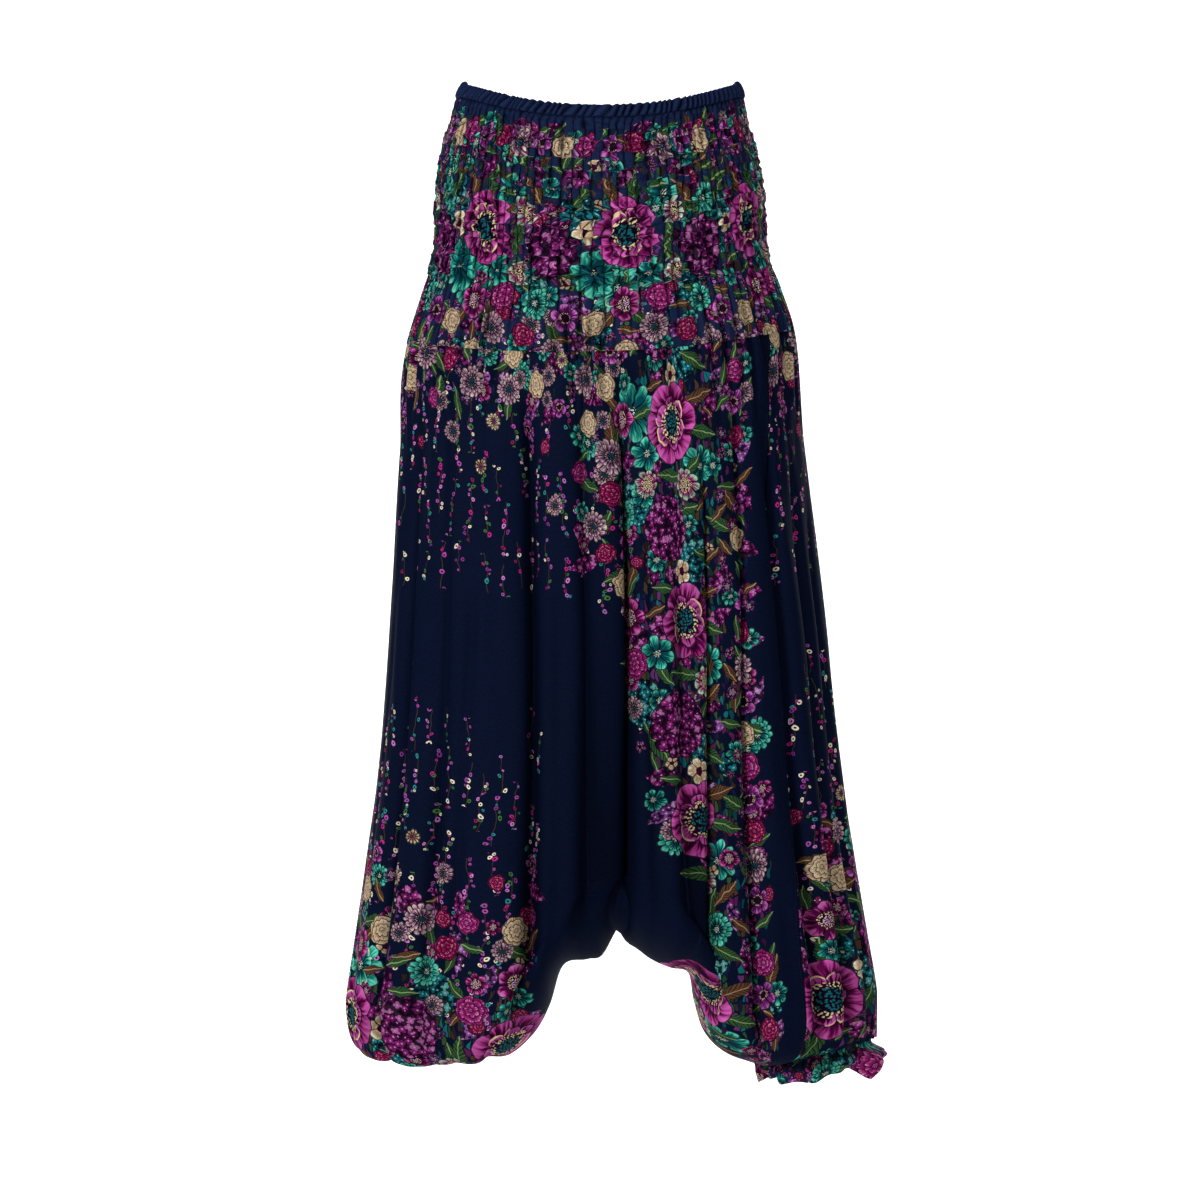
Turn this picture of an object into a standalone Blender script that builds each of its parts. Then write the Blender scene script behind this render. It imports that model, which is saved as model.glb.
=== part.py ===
"""Harem pants with a shirred waist, hanging open in their worn shape.

Metres, +Z up.  The front faces -Y and the wearer's right leg is at -X.  The origin is the middle
of the waist opening, where the garment is held.  Every piece of cloth is a thin closed wall of its
own, and neighbouring pieces stay a seam gap apart.

The cloth is described by two running numbers.  "Round" goes once round the garment: 0 is the side
seam at -X, 0.5 the middle of the front, 1 the side at +X, 1.5 the middle of the back and 2 the
side seam again.  "Level" is the height that a ring of cloth has at the sides.
"""
import bpy
import bmesh
import math
import numpy as np

# ---- driving sizes ----
WALL = 0.0018                # thickness of a cloth wall
SEAM_GAP = 0.0003            # clear space between two pieces at a seam
EDGE = SEAM_GAP / 2          # each piece stops this far from the seam line
ROUNDNESS = 2.2              # exponent of the rings: 2 is an ellipse, more is boxier
TINY = 1e-3                  # step in round or run over which a direction is measured

NAVY = (0.008, 0.014, 0.045)         # plain dark ground of the print
FLORAL = (0.060, 0.012, 0.045)       # the flowers' colour, mixed with the ground
ROUGHNESS = 0.7
CREASE_ANGLE = math.radians(50)      # edges sharper than this are shaded as creases

TOP_LEVEL = 0.009            # upper edge of the waist casing at the sides
CASING_LEVEL = -0.004        # seam between casing and yoke
SHIRR_LEVEL = -0.175         # lowest row of elastic thread
YOKE_LEVEL = -0.243          # seam between yoke and leg panels
LEG_LEVEL = -0.905           # where the legs begin to turn in to the ankles
YOKE_TILT = 0.006            # the yoke seam hangs lower on the wearer's right by twice this

GATHERS = 80                 # gathers round the casing and the yoke
GATHER_HEIGHT = 0.0034       # how far a gather stands up
PINCHED = 0.25               # share of that height left at a row of elastic thread
RELEASED_PUFF = 0.8          # puff of the loose gathers below the last elastic row
RELEASED_LOSS = 0.55         # share of the height that they lose on the way to the leg panels
GATHER_TOP = WALL * 0.3      # the gathers' crests stand this far outside the plain ring
PLAIN_INSIDE = GATHER_HEIGHT + WALL * 0.5    # and the plain inside lies this far inside it
SHIRR_ROWS = 6               # puffed bands between the elastic rows

# Rings of the garment from the waist to the ankles.
RING_COLUMNS = ("level", "centre_x", "half_width", "front_depth", "back_depth")
RINGS = (
    (0.009, 0.001, 0.1370, 0.088, 0.088),
    (-0.004, 0.000, 0.1440, 0.092, 0.093),
    (-0.020, -0.001, 0.1480, 0.095, 0.097),
    (-0.055, -0.001, 0.1580, 0.102, 0.105),
    (-0.095, 0.000, 0.1650, 0.107, 0.112),
    (-0.155, 0.000, 0.1685, 0.111, 0.118),
    (-0.195, 0.001, 0.1790, 0.115, 0.122),
    (-0.245, 0.001, 0.1915, 0.120, 0.127),
    (-0.355, 0.003, 0.2015, 0.127, 0.131),
    (-0.455, 0.006, 0.2105, 0.131, 0.134),
    (-0.555, 0.009, 0.2200, 0.134, 0.136),
    (-0.655, 0.010, 0.2290, 0.136, 0.137),
    (-0.755, 0.011, 0.2420, 0.136, 0.137),
    (-0.835, 0.012, 0.2545, 0.134, 0.136),
    (-0.895, 0.013, 0.2640, 0.130, 0.132),
    (-0.940, 0.013, 0.2685, 0.126, 0.128),
)

# How far the middle of the front and of the back hang below the sides.
DIP_COLUMNS = ("level", "front", "back")
DIPS = (
    (0.009, 0.028, 0.009),
    (-0.243, 0.020, 0.012),
    (-0.500, 0.004, 0.003),
    (-0.940, 0.000, 0.000),
)

# The seam between front and back on the wearer's left leg, by the height on that leg.
SIDE_SEAM_COLUMNS = ("level", "round")
SIDE_SEAM = (
    (-0.245, 0.825),
    (-0.400, 0.788),
    (-0.550, 0.762),
    (-0.700, 0.766),
    (-0.800, 0.749),
    (-0.940, 0.738),
)

# Elastic rings at the ankles: middle, half width and depth, height, and how much lower the inner
# side lies than the outer side.
RIGHT_ANKLE = {"x": -0.163, "half_width": 0.047, "half_depth": 0.046, "z": -0.930, "slope": 0.000}
LEFT_ANKLE = {"x": 0.2150, "half_width": 0.0615, "half_depth": 0.052, "z": -0.953, "slope": 0.012}
RIGHT_INNER = 0.360          # round positions where the cloth changes from ankle to inseam
LEFT_INNER = 0.660

# Where each stretch of cloth ends between the ankles: the inseam, seen from the front.
INSEAM_COLUMNS = ("round", "x", "z")
INSEAM = (
    (0.360, -0.116, -0.930),
    (0.383, -0.090, -0.950),
    (0.404, -0.066, -0.936),
    (0.425, -0.050, -0.908),
    (0.445, -0.038, -0.870),
    (0.472, -0.012, -0.863),
    (0.490, 0.004, -0.857),
    (0.497, 0.011, -0.844),
    (0.503, 0.017, -0.833),
    (0.511, 0.024, -0.843),
    (0.530, 0.037, -0.853),
    (0.550, 0.052, -0.864),
    (0.570, 0.071, -0.872),
    (0.587, 0.088, -0.876),
    (0.605, 0.094, -0.905),
    (0.628, 0.106, -0.938),
    (0.645, 0.126, -0.956),
    (0.660, 0.152, -0.965),
)

# The turn of the cloth at its lower end: the height where it leaves the straight hang, the depth
# that it is drawn to, the share of the way that it runs level into its end, and how far below its
# end it comes from.
TURN_COLUMNS = ("round", "start_z", "low_z", "reach", "rise")
TURNS = (
    (0.000, -0.905, -0.955, 0.60, 0.038),
    (0.060, -0.908, -0.965, 0.55, 0.044),
    (0.150, -0.912, -0.976, 0.50, 0.048),
    (0.300, -0.912, -0.976, 0.45, 0.046),
    (0.360, -0.898, -0.970, 0.45, 0.034),
    (0.405, -0.860, -0.915, 0.45, 0.004),
    (0.445, -0.805, -0.868, 0.45, 0.000),
    (0.504, -0.775, -0.822, 0.40, 0.000),
    (0.587, -0.808, -0.866, 0.45, 0.000),
    (0.620, -0.862, -0.930, 0.45, 0.002),
    (0.660, -0.900, -0.958, 0.45, 0.002),
    (0.800, -0.905, -0.955, 0.45, 0.002),
    (0.930, -0.900, -0.934, 0.48, 0.000),
    (1.000, -0.895, -0.922, 0.50, 0.000),
)

# Troughs between the rolls of hanging cloth: where each runs at the top and at the bottom, how
# deep and how wide it is there, and the level where it begins.
FOLD_COLUMNS = ("top", "bottom", "top_depth", "bottom_depth", "top_width", "bottom_width", "begins")
FRONT_FOLDS = (
    (0.122, 0.150, 0.004, 0.010, 0.020, 0.024, -0.26),
    (0.240, 0.245, 0.006, 0.014, 0.018, 0.026, -0.26),
    (0.310, 0.305, 0.003, 0.008, 0.014, 0.018, -0.45),
    (0.379, 0.372, 0.007, 0.014, 0.016, 0.022, -0.26),
    (0.465, 0.452, 0.009, 0.013, 0.014, 0.018, -0.26),
    (0.510, 0.503, 0.012, 0.029, 0.013, 0.016, -0.30),
    (0.590, 0.577, 0.003, 0.009, 0.013, 0.014, -0.45),
    (0.652, 0.602, 0.010, 0.013, 0.014, 0.018, -0.30),
    (0.725, 0.700, 0.004, 0.010, 0.018, 0.020, -0.40),
    (0.786, 0.770, 0.003, 0.006, 0.012, 0.014, -0.45),
    (0.880, 0.850, 0.004, 0.008, 0.016, 0.020, -0.35),
)
BACK_FOLDS = (
    (1.110, 1.125, 0.004, 0.009, 0.020, 0.022, -0.26),
    (1.215, 1.220, 0.006, 0.013, 0.018, 0.024, -0.26),
    (1.300, 1.310, 0.003, 0.009, 0.015, 0.018, -0.40),
    (1.375, 1.408, 0.008, 0.015, 0.016, 0.020, -0.26),
    (1.450, 1.452, 0.004, 0.010, 0.014, 0.016, -0.45),
    (1.500, 1.500, 0.010, 0.028, 0.014, 0.016, -0.30),
    (1.565, 1.555, 0.005, 0.012, 0.014, 0.017, -0.35),
    (1.640, 1.622, 0.008, 0.015, 0.018, 0.022, -0.26),
    (1.760, 1.752, 0.006, 0.013, 0.020, 0.026, -0.26),
    (1.880, 1.858, 0.004, 0.010, 0.020, 0.024, -0.26),
)
FOLD_TOP = -0.30             # levels that the folds' top and bottom columns are read at
FOLD_BOTTOM = -0.85
FOLD_START = 0.02            # a fold grows from this far above the level where it begins
FOLD_GROWTH = 0.10           # to its full depth this far below it
FADE_START = 0.58            # runs between which the folds die away towards the lower end
FADE_END = 0.96

# Columns of each leg panel: stretches round the garment, closer together at the middle fold.  The
# columns beside the side seam lean with it.
STRETCH_COLUMNS = ("start", "end", "count")
FRONT_STRETCHES = ((0.0, 0.485, 28), (0.485, 0.521, 6), (0.521, 0.62, 7), (0.62, 0.825, 11))
BACK_STRETCHES = ((0.825, 1.0, 7), (1.0, 1.38, 19), (1.38, 1.479, 6), (1.479, 1.515, 6), (1.515, 2.0, 24))
FIXED_FRONT = 0.62           # columns up to here on the front keep their place on every level
FIXED_BACK = 1.0             # and from here on the back

HANG_SHARE = 0.62            # share of a panel's rows that hang straight, the rest turn under
RIM_RUN = 0.05               # the wall's rim at the yoke seam is made level over this run
INSEAM_EASE = 0.03           # the cloth's end swings from ankle to inseam over this much round
HANG_ROWS = 8
TURN_ROWS = 6
INNER_COLUMNS = 48           # the plain inside of the yoke, round the whole garment

# Section down an ankle: distance below the ring, how far out the cloth stands, wave height.
CUFF_COLUMN_NAMES = ("below", "out", "wave")
LEFT_CUFF = (
    (-0.004, -0.0016, 0.0000),
    (0.005, -0.0016, 0.0008),
    (0.012, 0.0100, 0.0040),
    (0.021, 0.0095, 0.0065),
    (0.029, 0.0030, 0.0060),
)
RIGHT_CUFF = (
    (-0.004, -0.0016, 0.0000),
    (0.006, -0.0018, 0.0006),
    (0.014, -0.0035, 0.0015),
    (0.026, -0.0050, 0.0030),
)
CUFF_WAVES = 8
CUFF_COLUMNS = 48
RUFFLE_LEAN = 0.55           # how much more a ruffle stands out on the leg's outer side,
RUFFLE_DROP = 0.20           # and how much longer it is there


def column(rows, names, wanted):
    """One named column of a table, as an array."""
    return np.array([row[names.index(wanted)] for row in rows])


def along(rows, names, wanted, where):
    """Read a column smoothly at new values of the table's first column."""
    keys = column(rows, names, names[0])
    values = column(rows, names, wanted)
    if keys[0] > keys[-1]:
        keys, values = keys[::-1], values[::-1]
    slopes = np.gradient(values, keys)
    where = np.clip(where, keys[0], keys[-1])
    left = np.clip(np.searchsorted(keys, where, side="right") - 1, 0, len(keys) - 2)
    span = keys[left + 1] - keys[left]
    t = (where - keys[left]) / span
    rise = values[left + 1] - values[left]
    low, high = slopes[left] * span, slopes[left + 1] * span
    return values[left] + t * (low + t * (3 * rise - 2 * low - high + t * (low + high - 2 * rise)))


def ease(start, end, value):
    """0 before start, 1 after end, smooth between."""
    t = np.clip((value - start) / (end - start), 0, 1)
    return t * t * (3 - 2 * t)


def across(around):
    """Share of the width from -X to +X, and the side of the garment: -1 front, +1 back."""
    around = np.mod(around, 2.0)
    return np.where(around <= 1, around, 2 - around), np.where(around <= 1, -1.0, 1.0)


def ring(around, level):
    """Point of the plain garment, without folds, at a place round it and a level."""
    share, side = across(around)
    angle = (share - 0.5) * math.pi
    power = 2 / ROUNDNESS
    sine = np.sign(np.sin(angle)) * np.abs(np.sin(angle)) ** power
    cosine = np.abs(np.cos(angle)) ** power
    front = along(RINGS, RING_COLUMNS, "front_depth", level)
    back = along(RINGS, RING_COLUMNS, "back_depth", level)
    x = along(RINGS, RING_COLUMNS, "centre_x", level)
    x = x + along(RINGS, RING_COLUMNS, "half_width", level) * sine
    y = side * np.where(side < 0, front, back) * cosine
    dip = np.where(side < 0, along(DIPS, DIP_COLUMNS, "front", level),
                   along(DIPS, DIP_COLUMNS, "back", level))
    z = level - dip * np.cos(angle) ** 2
    tilt = ease(-0.02, YOKE_LEVEL, level) * (1 - ease(YOKE_LEVEL, -0.45, level))
    return np.stack([x, y, z + YOKE_TILT * tilt * sine], axis=-1)


def fold_depth(around, level):
    """How far the troughs draw the cloth in at a place."""
    depth = np.zeros(np.broadcast(around, level).shape)
    t = np.clip((level - FOLD_TOP) / (FOLD_BOTTOM - FOLD_TOP), 0, 1.15)
    for row in FRONT_FOLDS + BACK_FOLDS:
        fold = dict(zip(FOLD_COLUMNS, row))
        middle = fold["top"] + t * (fold["bottom"] - fold["top"])
        width = fold["top_width"] + t * (fold["bottom_width"] - fold["top_width"])
        deep = fold["top_depth"] + t * (fold["bottom_depth"] - fold["top_depth"])
        deep = deep * ease(fold["begins"] + FOLD_START, fold["begins"] - FOLD_GROWTH, level)
        depth += deep / (1 + ((around - middle) / width) ** 2) ** 1.5
    return depth


def ankle_point(ankle, turn):
    """Point on an ankle ring: turn 0 is the side towards the other leg, 1 the outer side."""
    inward = -1.0 if ankle["x"] > 0 else 1.0
    angle = turn * math.pi
    x = ankle["x"] + inward * ankle["half_width"] * np.cos(angle)
    y = ankle["half_depth"] * np.sin(angle)
    z = ankle["z"] - ankle["slope"] * np.cos(angle)
    return x, y, z


def lower_end(around):
    """Where the cloth of a panel ends below: on an ankle ring, or on the inseam between them."""
    share, side = across(around)
    right = ankle_point(RIGHT_ANKLE, np.clip(1 - share / RIGHT_INNER, 0, 1))
    left = ankle_point(LEFT_ANKLE, np.clip((share - LEFT_INNER) / (1 - LEFT_INNER), 0, 1))
    on_right, on_left = share < RIGHT_INNER, share > LEFT_INNER
    x = np.where(on_right, right[0], np.where(on_left, left[0], along(INSEAM, INSEAM_COLUMNS, "x", share)))
    y = np.where(on_right, right[1], np.where(on_left, left[1], 0.0)) * side
    z = np.where(on_right, right[2], np.where(on_left, left[2], along(INSEAM, INSEAM_COLUMNS, "z", share)))
    return np.stack([x, y, z], axis=-1)


def hanging_cloth(around, run):
    """Point of a leg panel without folds: run 0 is the yoke seam, 1 the cloth's lower end."""
    share = across(around)[0]
    start = along(TURNS, TURN_COLUMNS, "start_z", share)
    low = along(TURNS, TURN_COLUMNS, "low_z", share)
    reach = along(TURNS, TURN_COLUMNS, "reach", share)
    rise = along(TURNS, TURN_COLUMNS, "rise", share)
    hang = np.clip(run / HANG_SHARE, 0, 1)
    level = YOKE_LEVEL + hang * (start - YOKE_LEVEL)
    straight = ring(around, level)
    end = lower_end(around)
    first = ring(around, start + 0 * run)
    second = first.copy()
    second[..., 2] = low
    out = (first - end) * reach[..., None]
    inseam = ease(RIGHT_INNER, RIGHT_INNER + INSEAM_EASE, share)
    inseam = inseam * (1 - ease(LEFT_INNER - INSEAM_EASE, LEFT_INNER, share))
    out[..., 0] *= 1 - inseam
    out[..., 2] = -rise
    third = end + out
    t = np.clip((run - HANG_SHARE) / (1 - HANG_SHARE), 0, 1)[..., None]
    turned = (first * (1 - t) ** 3 + 3 * second * t * (1 - t) ** 2
              + 3 * third * t ** 2 * (1 - t) + end * t ** 3)
    return np.where(t > 0, turned, straight), level


def normals(surface, around, run):
    """Outward directions of a surface given as a function of round and run."""
    before, after = np.clip(run - TINY, 0, 1), np.clip(run + TINY, 0, 1)
    round_way = surface(around + TINY, run) - surface(around - TINY, run)
    down_way = surface(around, after) - surface(around, before)
    normal = np.cross(down_way, round_way)
    return normal / np.linalg.norm(normal, axis=-1, keepdims=True)


def panel_cloth(around, run):
    """Middle of a leg panel's wall with its folds."""
    plain, level = hanging_cloth(around, run)
    direction = normals(lambda a, r: hanging_cloth(a, r)[0], around, run)
    fade = 1 - ease(FADE_START, FADE_END, run)
    depth = fold_depth(np.mod(around, 2.0), level) * fade
    return plain - direction * depth[..., None]


def flatten_rim(directions, run):
    """Make the wall's direction level at the yoke seam, so that its rim lies flat along the seam."""
    weight = (1 - ease(0.0, RIM_RUN, run))[..., None]
    level = directions * np.array([1.0, 1.0, 0.0])
    level = level / np.maximum(np.linalg.norm(level, axis=-1, keepdims=True), 1e-6)
    mixed = directions * (1 - weight) + level * weight
    return mixed / np.linalg.norm(mixed, axis=-1, keepdims=True)


def draw_in(points):
    """Stop the first and last columns and rows a little before the seam lines."""
    moved = points.copy()
    for edge, inside in ((0, 1), (-1, -2)):
        way = points[inside] - points[edge]
        moved[edge] += way / np.linalg.norm(way, axis=-1, keepdims=True) * EDGE
    return moved


def grid_mesh(mesh, points, closed):
    """Add a grid of cloth to a bmesh, one point for each entry; closed joins it up both ways."""
    columns, rows = points.shape[0], points.shape[1]
    wide, high = columns - 1 + closed, rows - 1 + closed
    made = bmesh.ops.create_grid(mesh, x_segments=wide, y_segments=high, size=1)
    for vertex in made["verts"]:
        i = round((vertex.co.x + 1) / 2 * wide) % columns
        j = round((vertex.co.y + 1) / 2 * high) % rows
        vertex.co = points[i, j]
    if closed:
        bmesh.ops.remove_doubles(mesh, verts=made["verts"], dist=1e-7)


def cloth_wall(name, outer, inner, colour):
    """A closed wall of cloth between an outer and an inner grid of points."""
    mesh = bmesh.new()
    grid_mesh(mesh, outer, False)
    grid_mesh(mesh, inner, False)
    bmesh.ops.bridge_loops(mesh, edges=[edge for edge in mesh.edges if edge.is_boundary])
    return finished_piece(name, mesh, colour)


def cloth_ring(name, outer, inner, colour):
    """A closed wall of cloth that goes all the way round."""
    mesh = bmesh.new()
    grid_mesh(mesh, np.concatenate([outer, inner[:, ::-1]], axis=1), True)
    return finished_piece(name, mesh, colour)


def finished_piece(name, mesh, colour):
    """Make the named object from a closed bmesh, faces outwards and smoothly shaded."""
    bmesh.ops.recalc_face_normals(mesh, faces=mesh.faces)
    data = bpy.data.meshes.new(name)
    mesh.to_mesh(data)
    mesh.free()
    data.shade_smooth()
    data.set_sharp_from_angle(angle=CREASE_ANGLE)
    piece = bpy.data.objects.new(name, data)
    bpy.context.collection.objects.link(piece)
    data.materials.append(cloth_material(name + "_cloth", colour))
    return piece


def cloth_material(name, colour):
    """Soft rayon cloth in one colour."""
    material = bpy.data.materials.new(name)
    material.use_nodes = True
    shader = material.node_tree.nodes["Principled BSDF"]
    shader.inputs["Base Color"].default_value = (*colour, 1)
    shader.inputs["Roughness"].default_value = ROUGHNESS
    shader.inputs["Metallic"].default_value = 0.0
    return material


def shirring(around, level):
    """How far the shirred cloth stands out from its plain inner wall."""
    phase = np.round(around * GATHERS).astype(int) % 2
    band = (CASING_LEVEL - level) / (CASING_LEVEL - SHIRR_LEVEL) * SHIRR_ROWS
    loose = level < SHIRR_LEVEL - TINY
    puff = np.where(loose, RELEASED_PUFF, 0.5 - 0.5 * np.cos(band * 2 * math.pi))
    height = GATHER_HEIGHT * (1 - RELEASED_LOSS * ease(SHIRR_LEVEL, YOKE_LEVEL, level))
    return height * (PINCHED + (1 - PINCHED) * puff) * phase


def shirred_points(columns, levels):
    """Outer points of shirred cloth, its gathers raised by columns and levels."""
    around, level = np.meshgrid(columns, levels, indexing="ij")
    stand = shirring(around, level) - GATHER_HEIGHT + GATHER_TOP
    return ring(around, level) + flat_directions(around, level) * stand[..., None]


def plain_points(columns, levels):
    """Points of the plain inside of shirred cloth."""
    around, level = np.meshgrid(columns, levels, indexing="ij")
    return ring(around, level) - flat_directions(around, level) * PLAIN_INSIDE


def flat_directions(around, level):
    """Level directions straight out of the plain garment."""
    way = ring(around + TINY, level) - ring(around - TINY, level)
    out = np.stack([way[..., 1], -way[..., 0], 0 * way[..., 0]], axis=-1)
    return out / np.linalg.norm(out, axis=-1, keepdims=True)


def waist_casing():
    columns = np.arange(2 * GATHERS) / GATHERS
    levels = np.linspace(TOP_LEVEL, CASING_LEVEL, 3)
    outer, inner = shirred_points(columns, levels), plain_points(columns, levels[[0, -1]])
    for wall in (outer, inner):
        wall[:, -1, 2] += EDGE
    return cloth_ring("waist_casing", outer, inner, NAVY)


def yoke(name, start, end):
    shirred = np.linspace(CASING_LEVEL, SHIRR_LEVEL, 2 * SHIRR_ROWS + 1)
    released = np.linspace(SHIRR_LEVEL, YOKE_LEVEL, 4)[1:]
    levels = np.concatenate([shirred, released])
    columns = np.arange(round(start * GATHERS), round(end * GATHERS) + 1) / GATHERS
    inner_columns = np.linspace(start, end, round((end - start) / 2 * INNER_COLUMNS) + 1)
    outer, inner = shirred_points(columns, levels), plain_points(inner_columns, levels[::2])
    for wall in (outer, inner):
        wall[:, 0, 2] -= EDGE
        wall[:, -1, 2] += EDGE
    return cloth_wall(name, draw_in(outer), draw_in(inner), FLORAL)


def panel_columns(stretches):
    """Round positions of a leg panel's columns at the level of the yoke seam."""
    places = []
    for row in stretches:
        stretch = dict(zip(STRETCH_COLUMNS, row))
        places += list(np.linspace(stretch["start"], stretch["end"], stretch["count"], endpoint=False))
    return np.array(places + [stretches[-1][1]])


def lean_with_seam(places, levels):
    """Move the columns beside the side seam so that the last one follows it down."""
    seam = along(SIDE_SEAM, SIDE_SEAM_COLUMNS, "round", levels)[None, :]
    at_top, place = SIDE_SEAM[0][1], places[:, None]
    if places[-1] < 1:
        share = np.clip((place - FIXED_FRONT) / (at_top - FIXED_FRONT), 0, 1)
    else:
        share = np.clip((FIXED_BACK - place) / (FIXED_BACK - at_top), 0, 1)
    return place + share * (seam - at_top)


def leg_panel(name, stretches):
    """The wide front or back, both legs in one piece, from the yoke seam to ankles and inseam."""
    hang = np.linspace(0, HANG_SHARE, HANG_ROWS + 1)
    turn = np.linspace(HANG_SHARE, 1, TURN_ROWS + 1)[1:]
    runs = np.concatenate([hang, turn])
    levels = YOKE_LEVEL + np.clip(runs / HANG_SHARE, 0, 1) * (LEG_LEVEL - YOKE_LEVEL)
    around = lean_with_seam(panel_columns(stretches), levels)
    run = np.broadcast_to(runs, around.shape)
    middle = panel_cloth(around, run)
    direction = flatten_rim(normals(panel_cloth, around, run), run)
    middle[:, 0, 2] -= EDGE
    end_way = middle[:, -2] - middle[:, -1]
    middle[:, -1] += end_way / np.linalg.norm(end_way, axis=-1, keepdims=True) * EDGE
    walls = []
    for offset in (WALL / 2, -WALL / 2):
        wall = draw_in(middle + direction * offset)
        side = np.where(around > 1, 1.0, -1.0)
        own_half = side * np.maximum(side * wall[..., 1], EDGE)
        wall[..., 1] = np.where(across(around)[0] < LEFT_INNER, own_half, wall[..., 1])
        walls.append(wall)
    return cloth_wall(name, walls[0], walls[1], NAVY)


def cuff(name, ankle, section, colour):
    """An elastic ring with the ruffle that hangs from it."""
    angle = np.arange(CUFF_COLUMNS) / CUFF_COLUMNS * 2 * math.pi
    below = column(section, CUFF_COLUMN_NAMES, "below")[None, :]
    out = column(section, CUFF_COLUMN_NAMES, "out")[None, :]
    wave = column(section, CUFF_COLUMN_NAMES, "wave")[None, :]
    inward = -1.0 if ankle["x"] > 0 else 1.0
    cosine, sine = np.cos(angle)[:, None], np.sin(angle)[:, None]
    walls = []
    for inset in (0.0, WALL):
        stand = out * (1 - RUFFLE_LEAN * cosine) + wave * (np.cos(CUFF_WAVES * angle)[:, None] - 1) - inset
        x = ankle["x"] + inward * (ankle["half_width"] + stand) * cosine
        y = (ankle["half_depth"] + stand) * sine
        z = ankle["z"] - ankle["slope"] * cosine - below * (1 - RUFFLE_DROP * cosine) + 0 * x
        walls.append(np.stack([x, y, z], axis=-1))
    return cloth_ring(name, walls[0], walls[1], colour)


for old in list(bpy.data.objects):
    bpy.data.objects.remove(old, do_unlink=True)

waist_casing()
yoke("yoke_front", 0.0, SIDE_SEAM[0][1])
yoke("yoke_back", SIDE_SEAM[0][1], 2.0)
leg_panel("front_panel", FRONT_STRETCHES)
leg_panel("back_panel", BACK_STRETCHES)
cuff("right_cuff", RIGHT_ANKLE, RIGHT_CUFF, FLORAL)
cuff("left_cuff", LEFT_ANKLE, LEFT_CUFF, FLORAL)
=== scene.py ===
import bmesh
import bpy
import math
import numpy as np
from mathutils import Matrix, Vector


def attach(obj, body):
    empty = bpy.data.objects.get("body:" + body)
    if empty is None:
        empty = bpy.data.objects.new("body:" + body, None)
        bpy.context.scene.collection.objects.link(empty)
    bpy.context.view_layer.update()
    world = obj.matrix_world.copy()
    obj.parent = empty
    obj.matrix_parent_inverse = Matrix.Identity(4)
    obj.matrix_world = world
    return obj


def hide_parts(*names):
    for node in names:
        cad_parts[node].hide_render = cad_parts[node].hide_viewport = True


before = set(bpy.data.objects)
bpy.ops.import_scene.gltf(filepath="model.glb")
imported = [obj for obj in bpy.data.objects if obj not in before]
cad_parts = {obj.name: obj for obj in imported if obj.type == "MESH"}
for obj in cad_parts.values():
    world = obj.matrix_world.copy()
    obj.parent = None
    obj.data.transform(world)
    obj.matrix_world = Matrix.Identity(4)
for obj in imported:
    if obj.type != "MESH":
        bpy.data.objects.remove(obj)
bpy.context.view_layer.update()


# ---- Waist casing ----
# A narrow tunnel of plain navy rayon, turned over flat elastic and stitched down on top of the yoke.
# The elastic draws it into about a hundred and twenty slanting gathers with a frilled upper edge.
ROUNDNESS = 2.2              # exponent of the garment's rings: 2 is an ellipse, more is boxier
STEP = 1e-3                  # step in round or run over which a direction is measured
TOP_LEVEL = 0.009            # upper edge of the casing at the sides
CASING_LEVEL = -0.004        # seam between casing and yoke
YOKE_LEVEL = -0.243          # seam between yoke and leg panels
YOKE_TILT = 0.006            # the yoke seam hangs lower on the wearer's right by twice this
SEAM_GAP = 0.0003            # clear space at a seam
GATHERS = 118                # gathers round the whole waist
YOKE_FLAT = 1.36             # width of the yoke's cloth round the garment before it is gathered
CASING_FLAT = 0.034          # width of the strip that the casing is folded from

# Rings of the garment from the waist to the ankles.
RING_COLUMNS = ("level", "centre_x", "half_width", "front_depth", "back_depth")
RINGS = (
    (0.009, 0.001, 0.1370, 0.088, 0.088),
    (-0.004, 0.000, 0.1440, 0.092, 0.093),
    (-0.020, -0.001, 0.1480, 0.095, 0.097),
    (-0.055, -0.001, 0.1580, 0.102, 0.105),
    (-0.095, 0.000, 0.1650, 0.107, 0.112),
    (-0.155, 0.000, 0.1685, 0.111, 0.118),
    (-0.195, 0.001, 0.1790, 0.115, 0.122),
    (-0.245, 0.001, 0.1915, 0.120, 0.127),
    (-0.355, 0.003, 0.2015, 0.127, 0.131),
    (-0.455, 0.006, 0.2105, 0.131, 0.134),
    (-0.555, 0.009, 0.2200, 0.134, 0.136),
    (-0.655, 0.010, 0.2290, 0.136, 0.137),
    (-0.755, 0.011, 0.2420, 0.136, 0.137),
    (-0.835, 0.012, 0.2545, 0.134, 0.136),
    (-0.895, 0.013, 0.2640, 0.130, 0.132),
    (-0.940, 0.013, 0.2685, 0.126, 0.128),
)
# How far the middle of the front and of the back hang below the sides.
DIP_COLUMNS = ("level", "front", "back")
DIPS = (
    (0.009, 0.028, 0.009),
    (-0.243, 0.020, 0.012),
    (-0.500, 0.004, 0.003),
    (-0.940, 0.000, 0.000),
)
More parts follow.
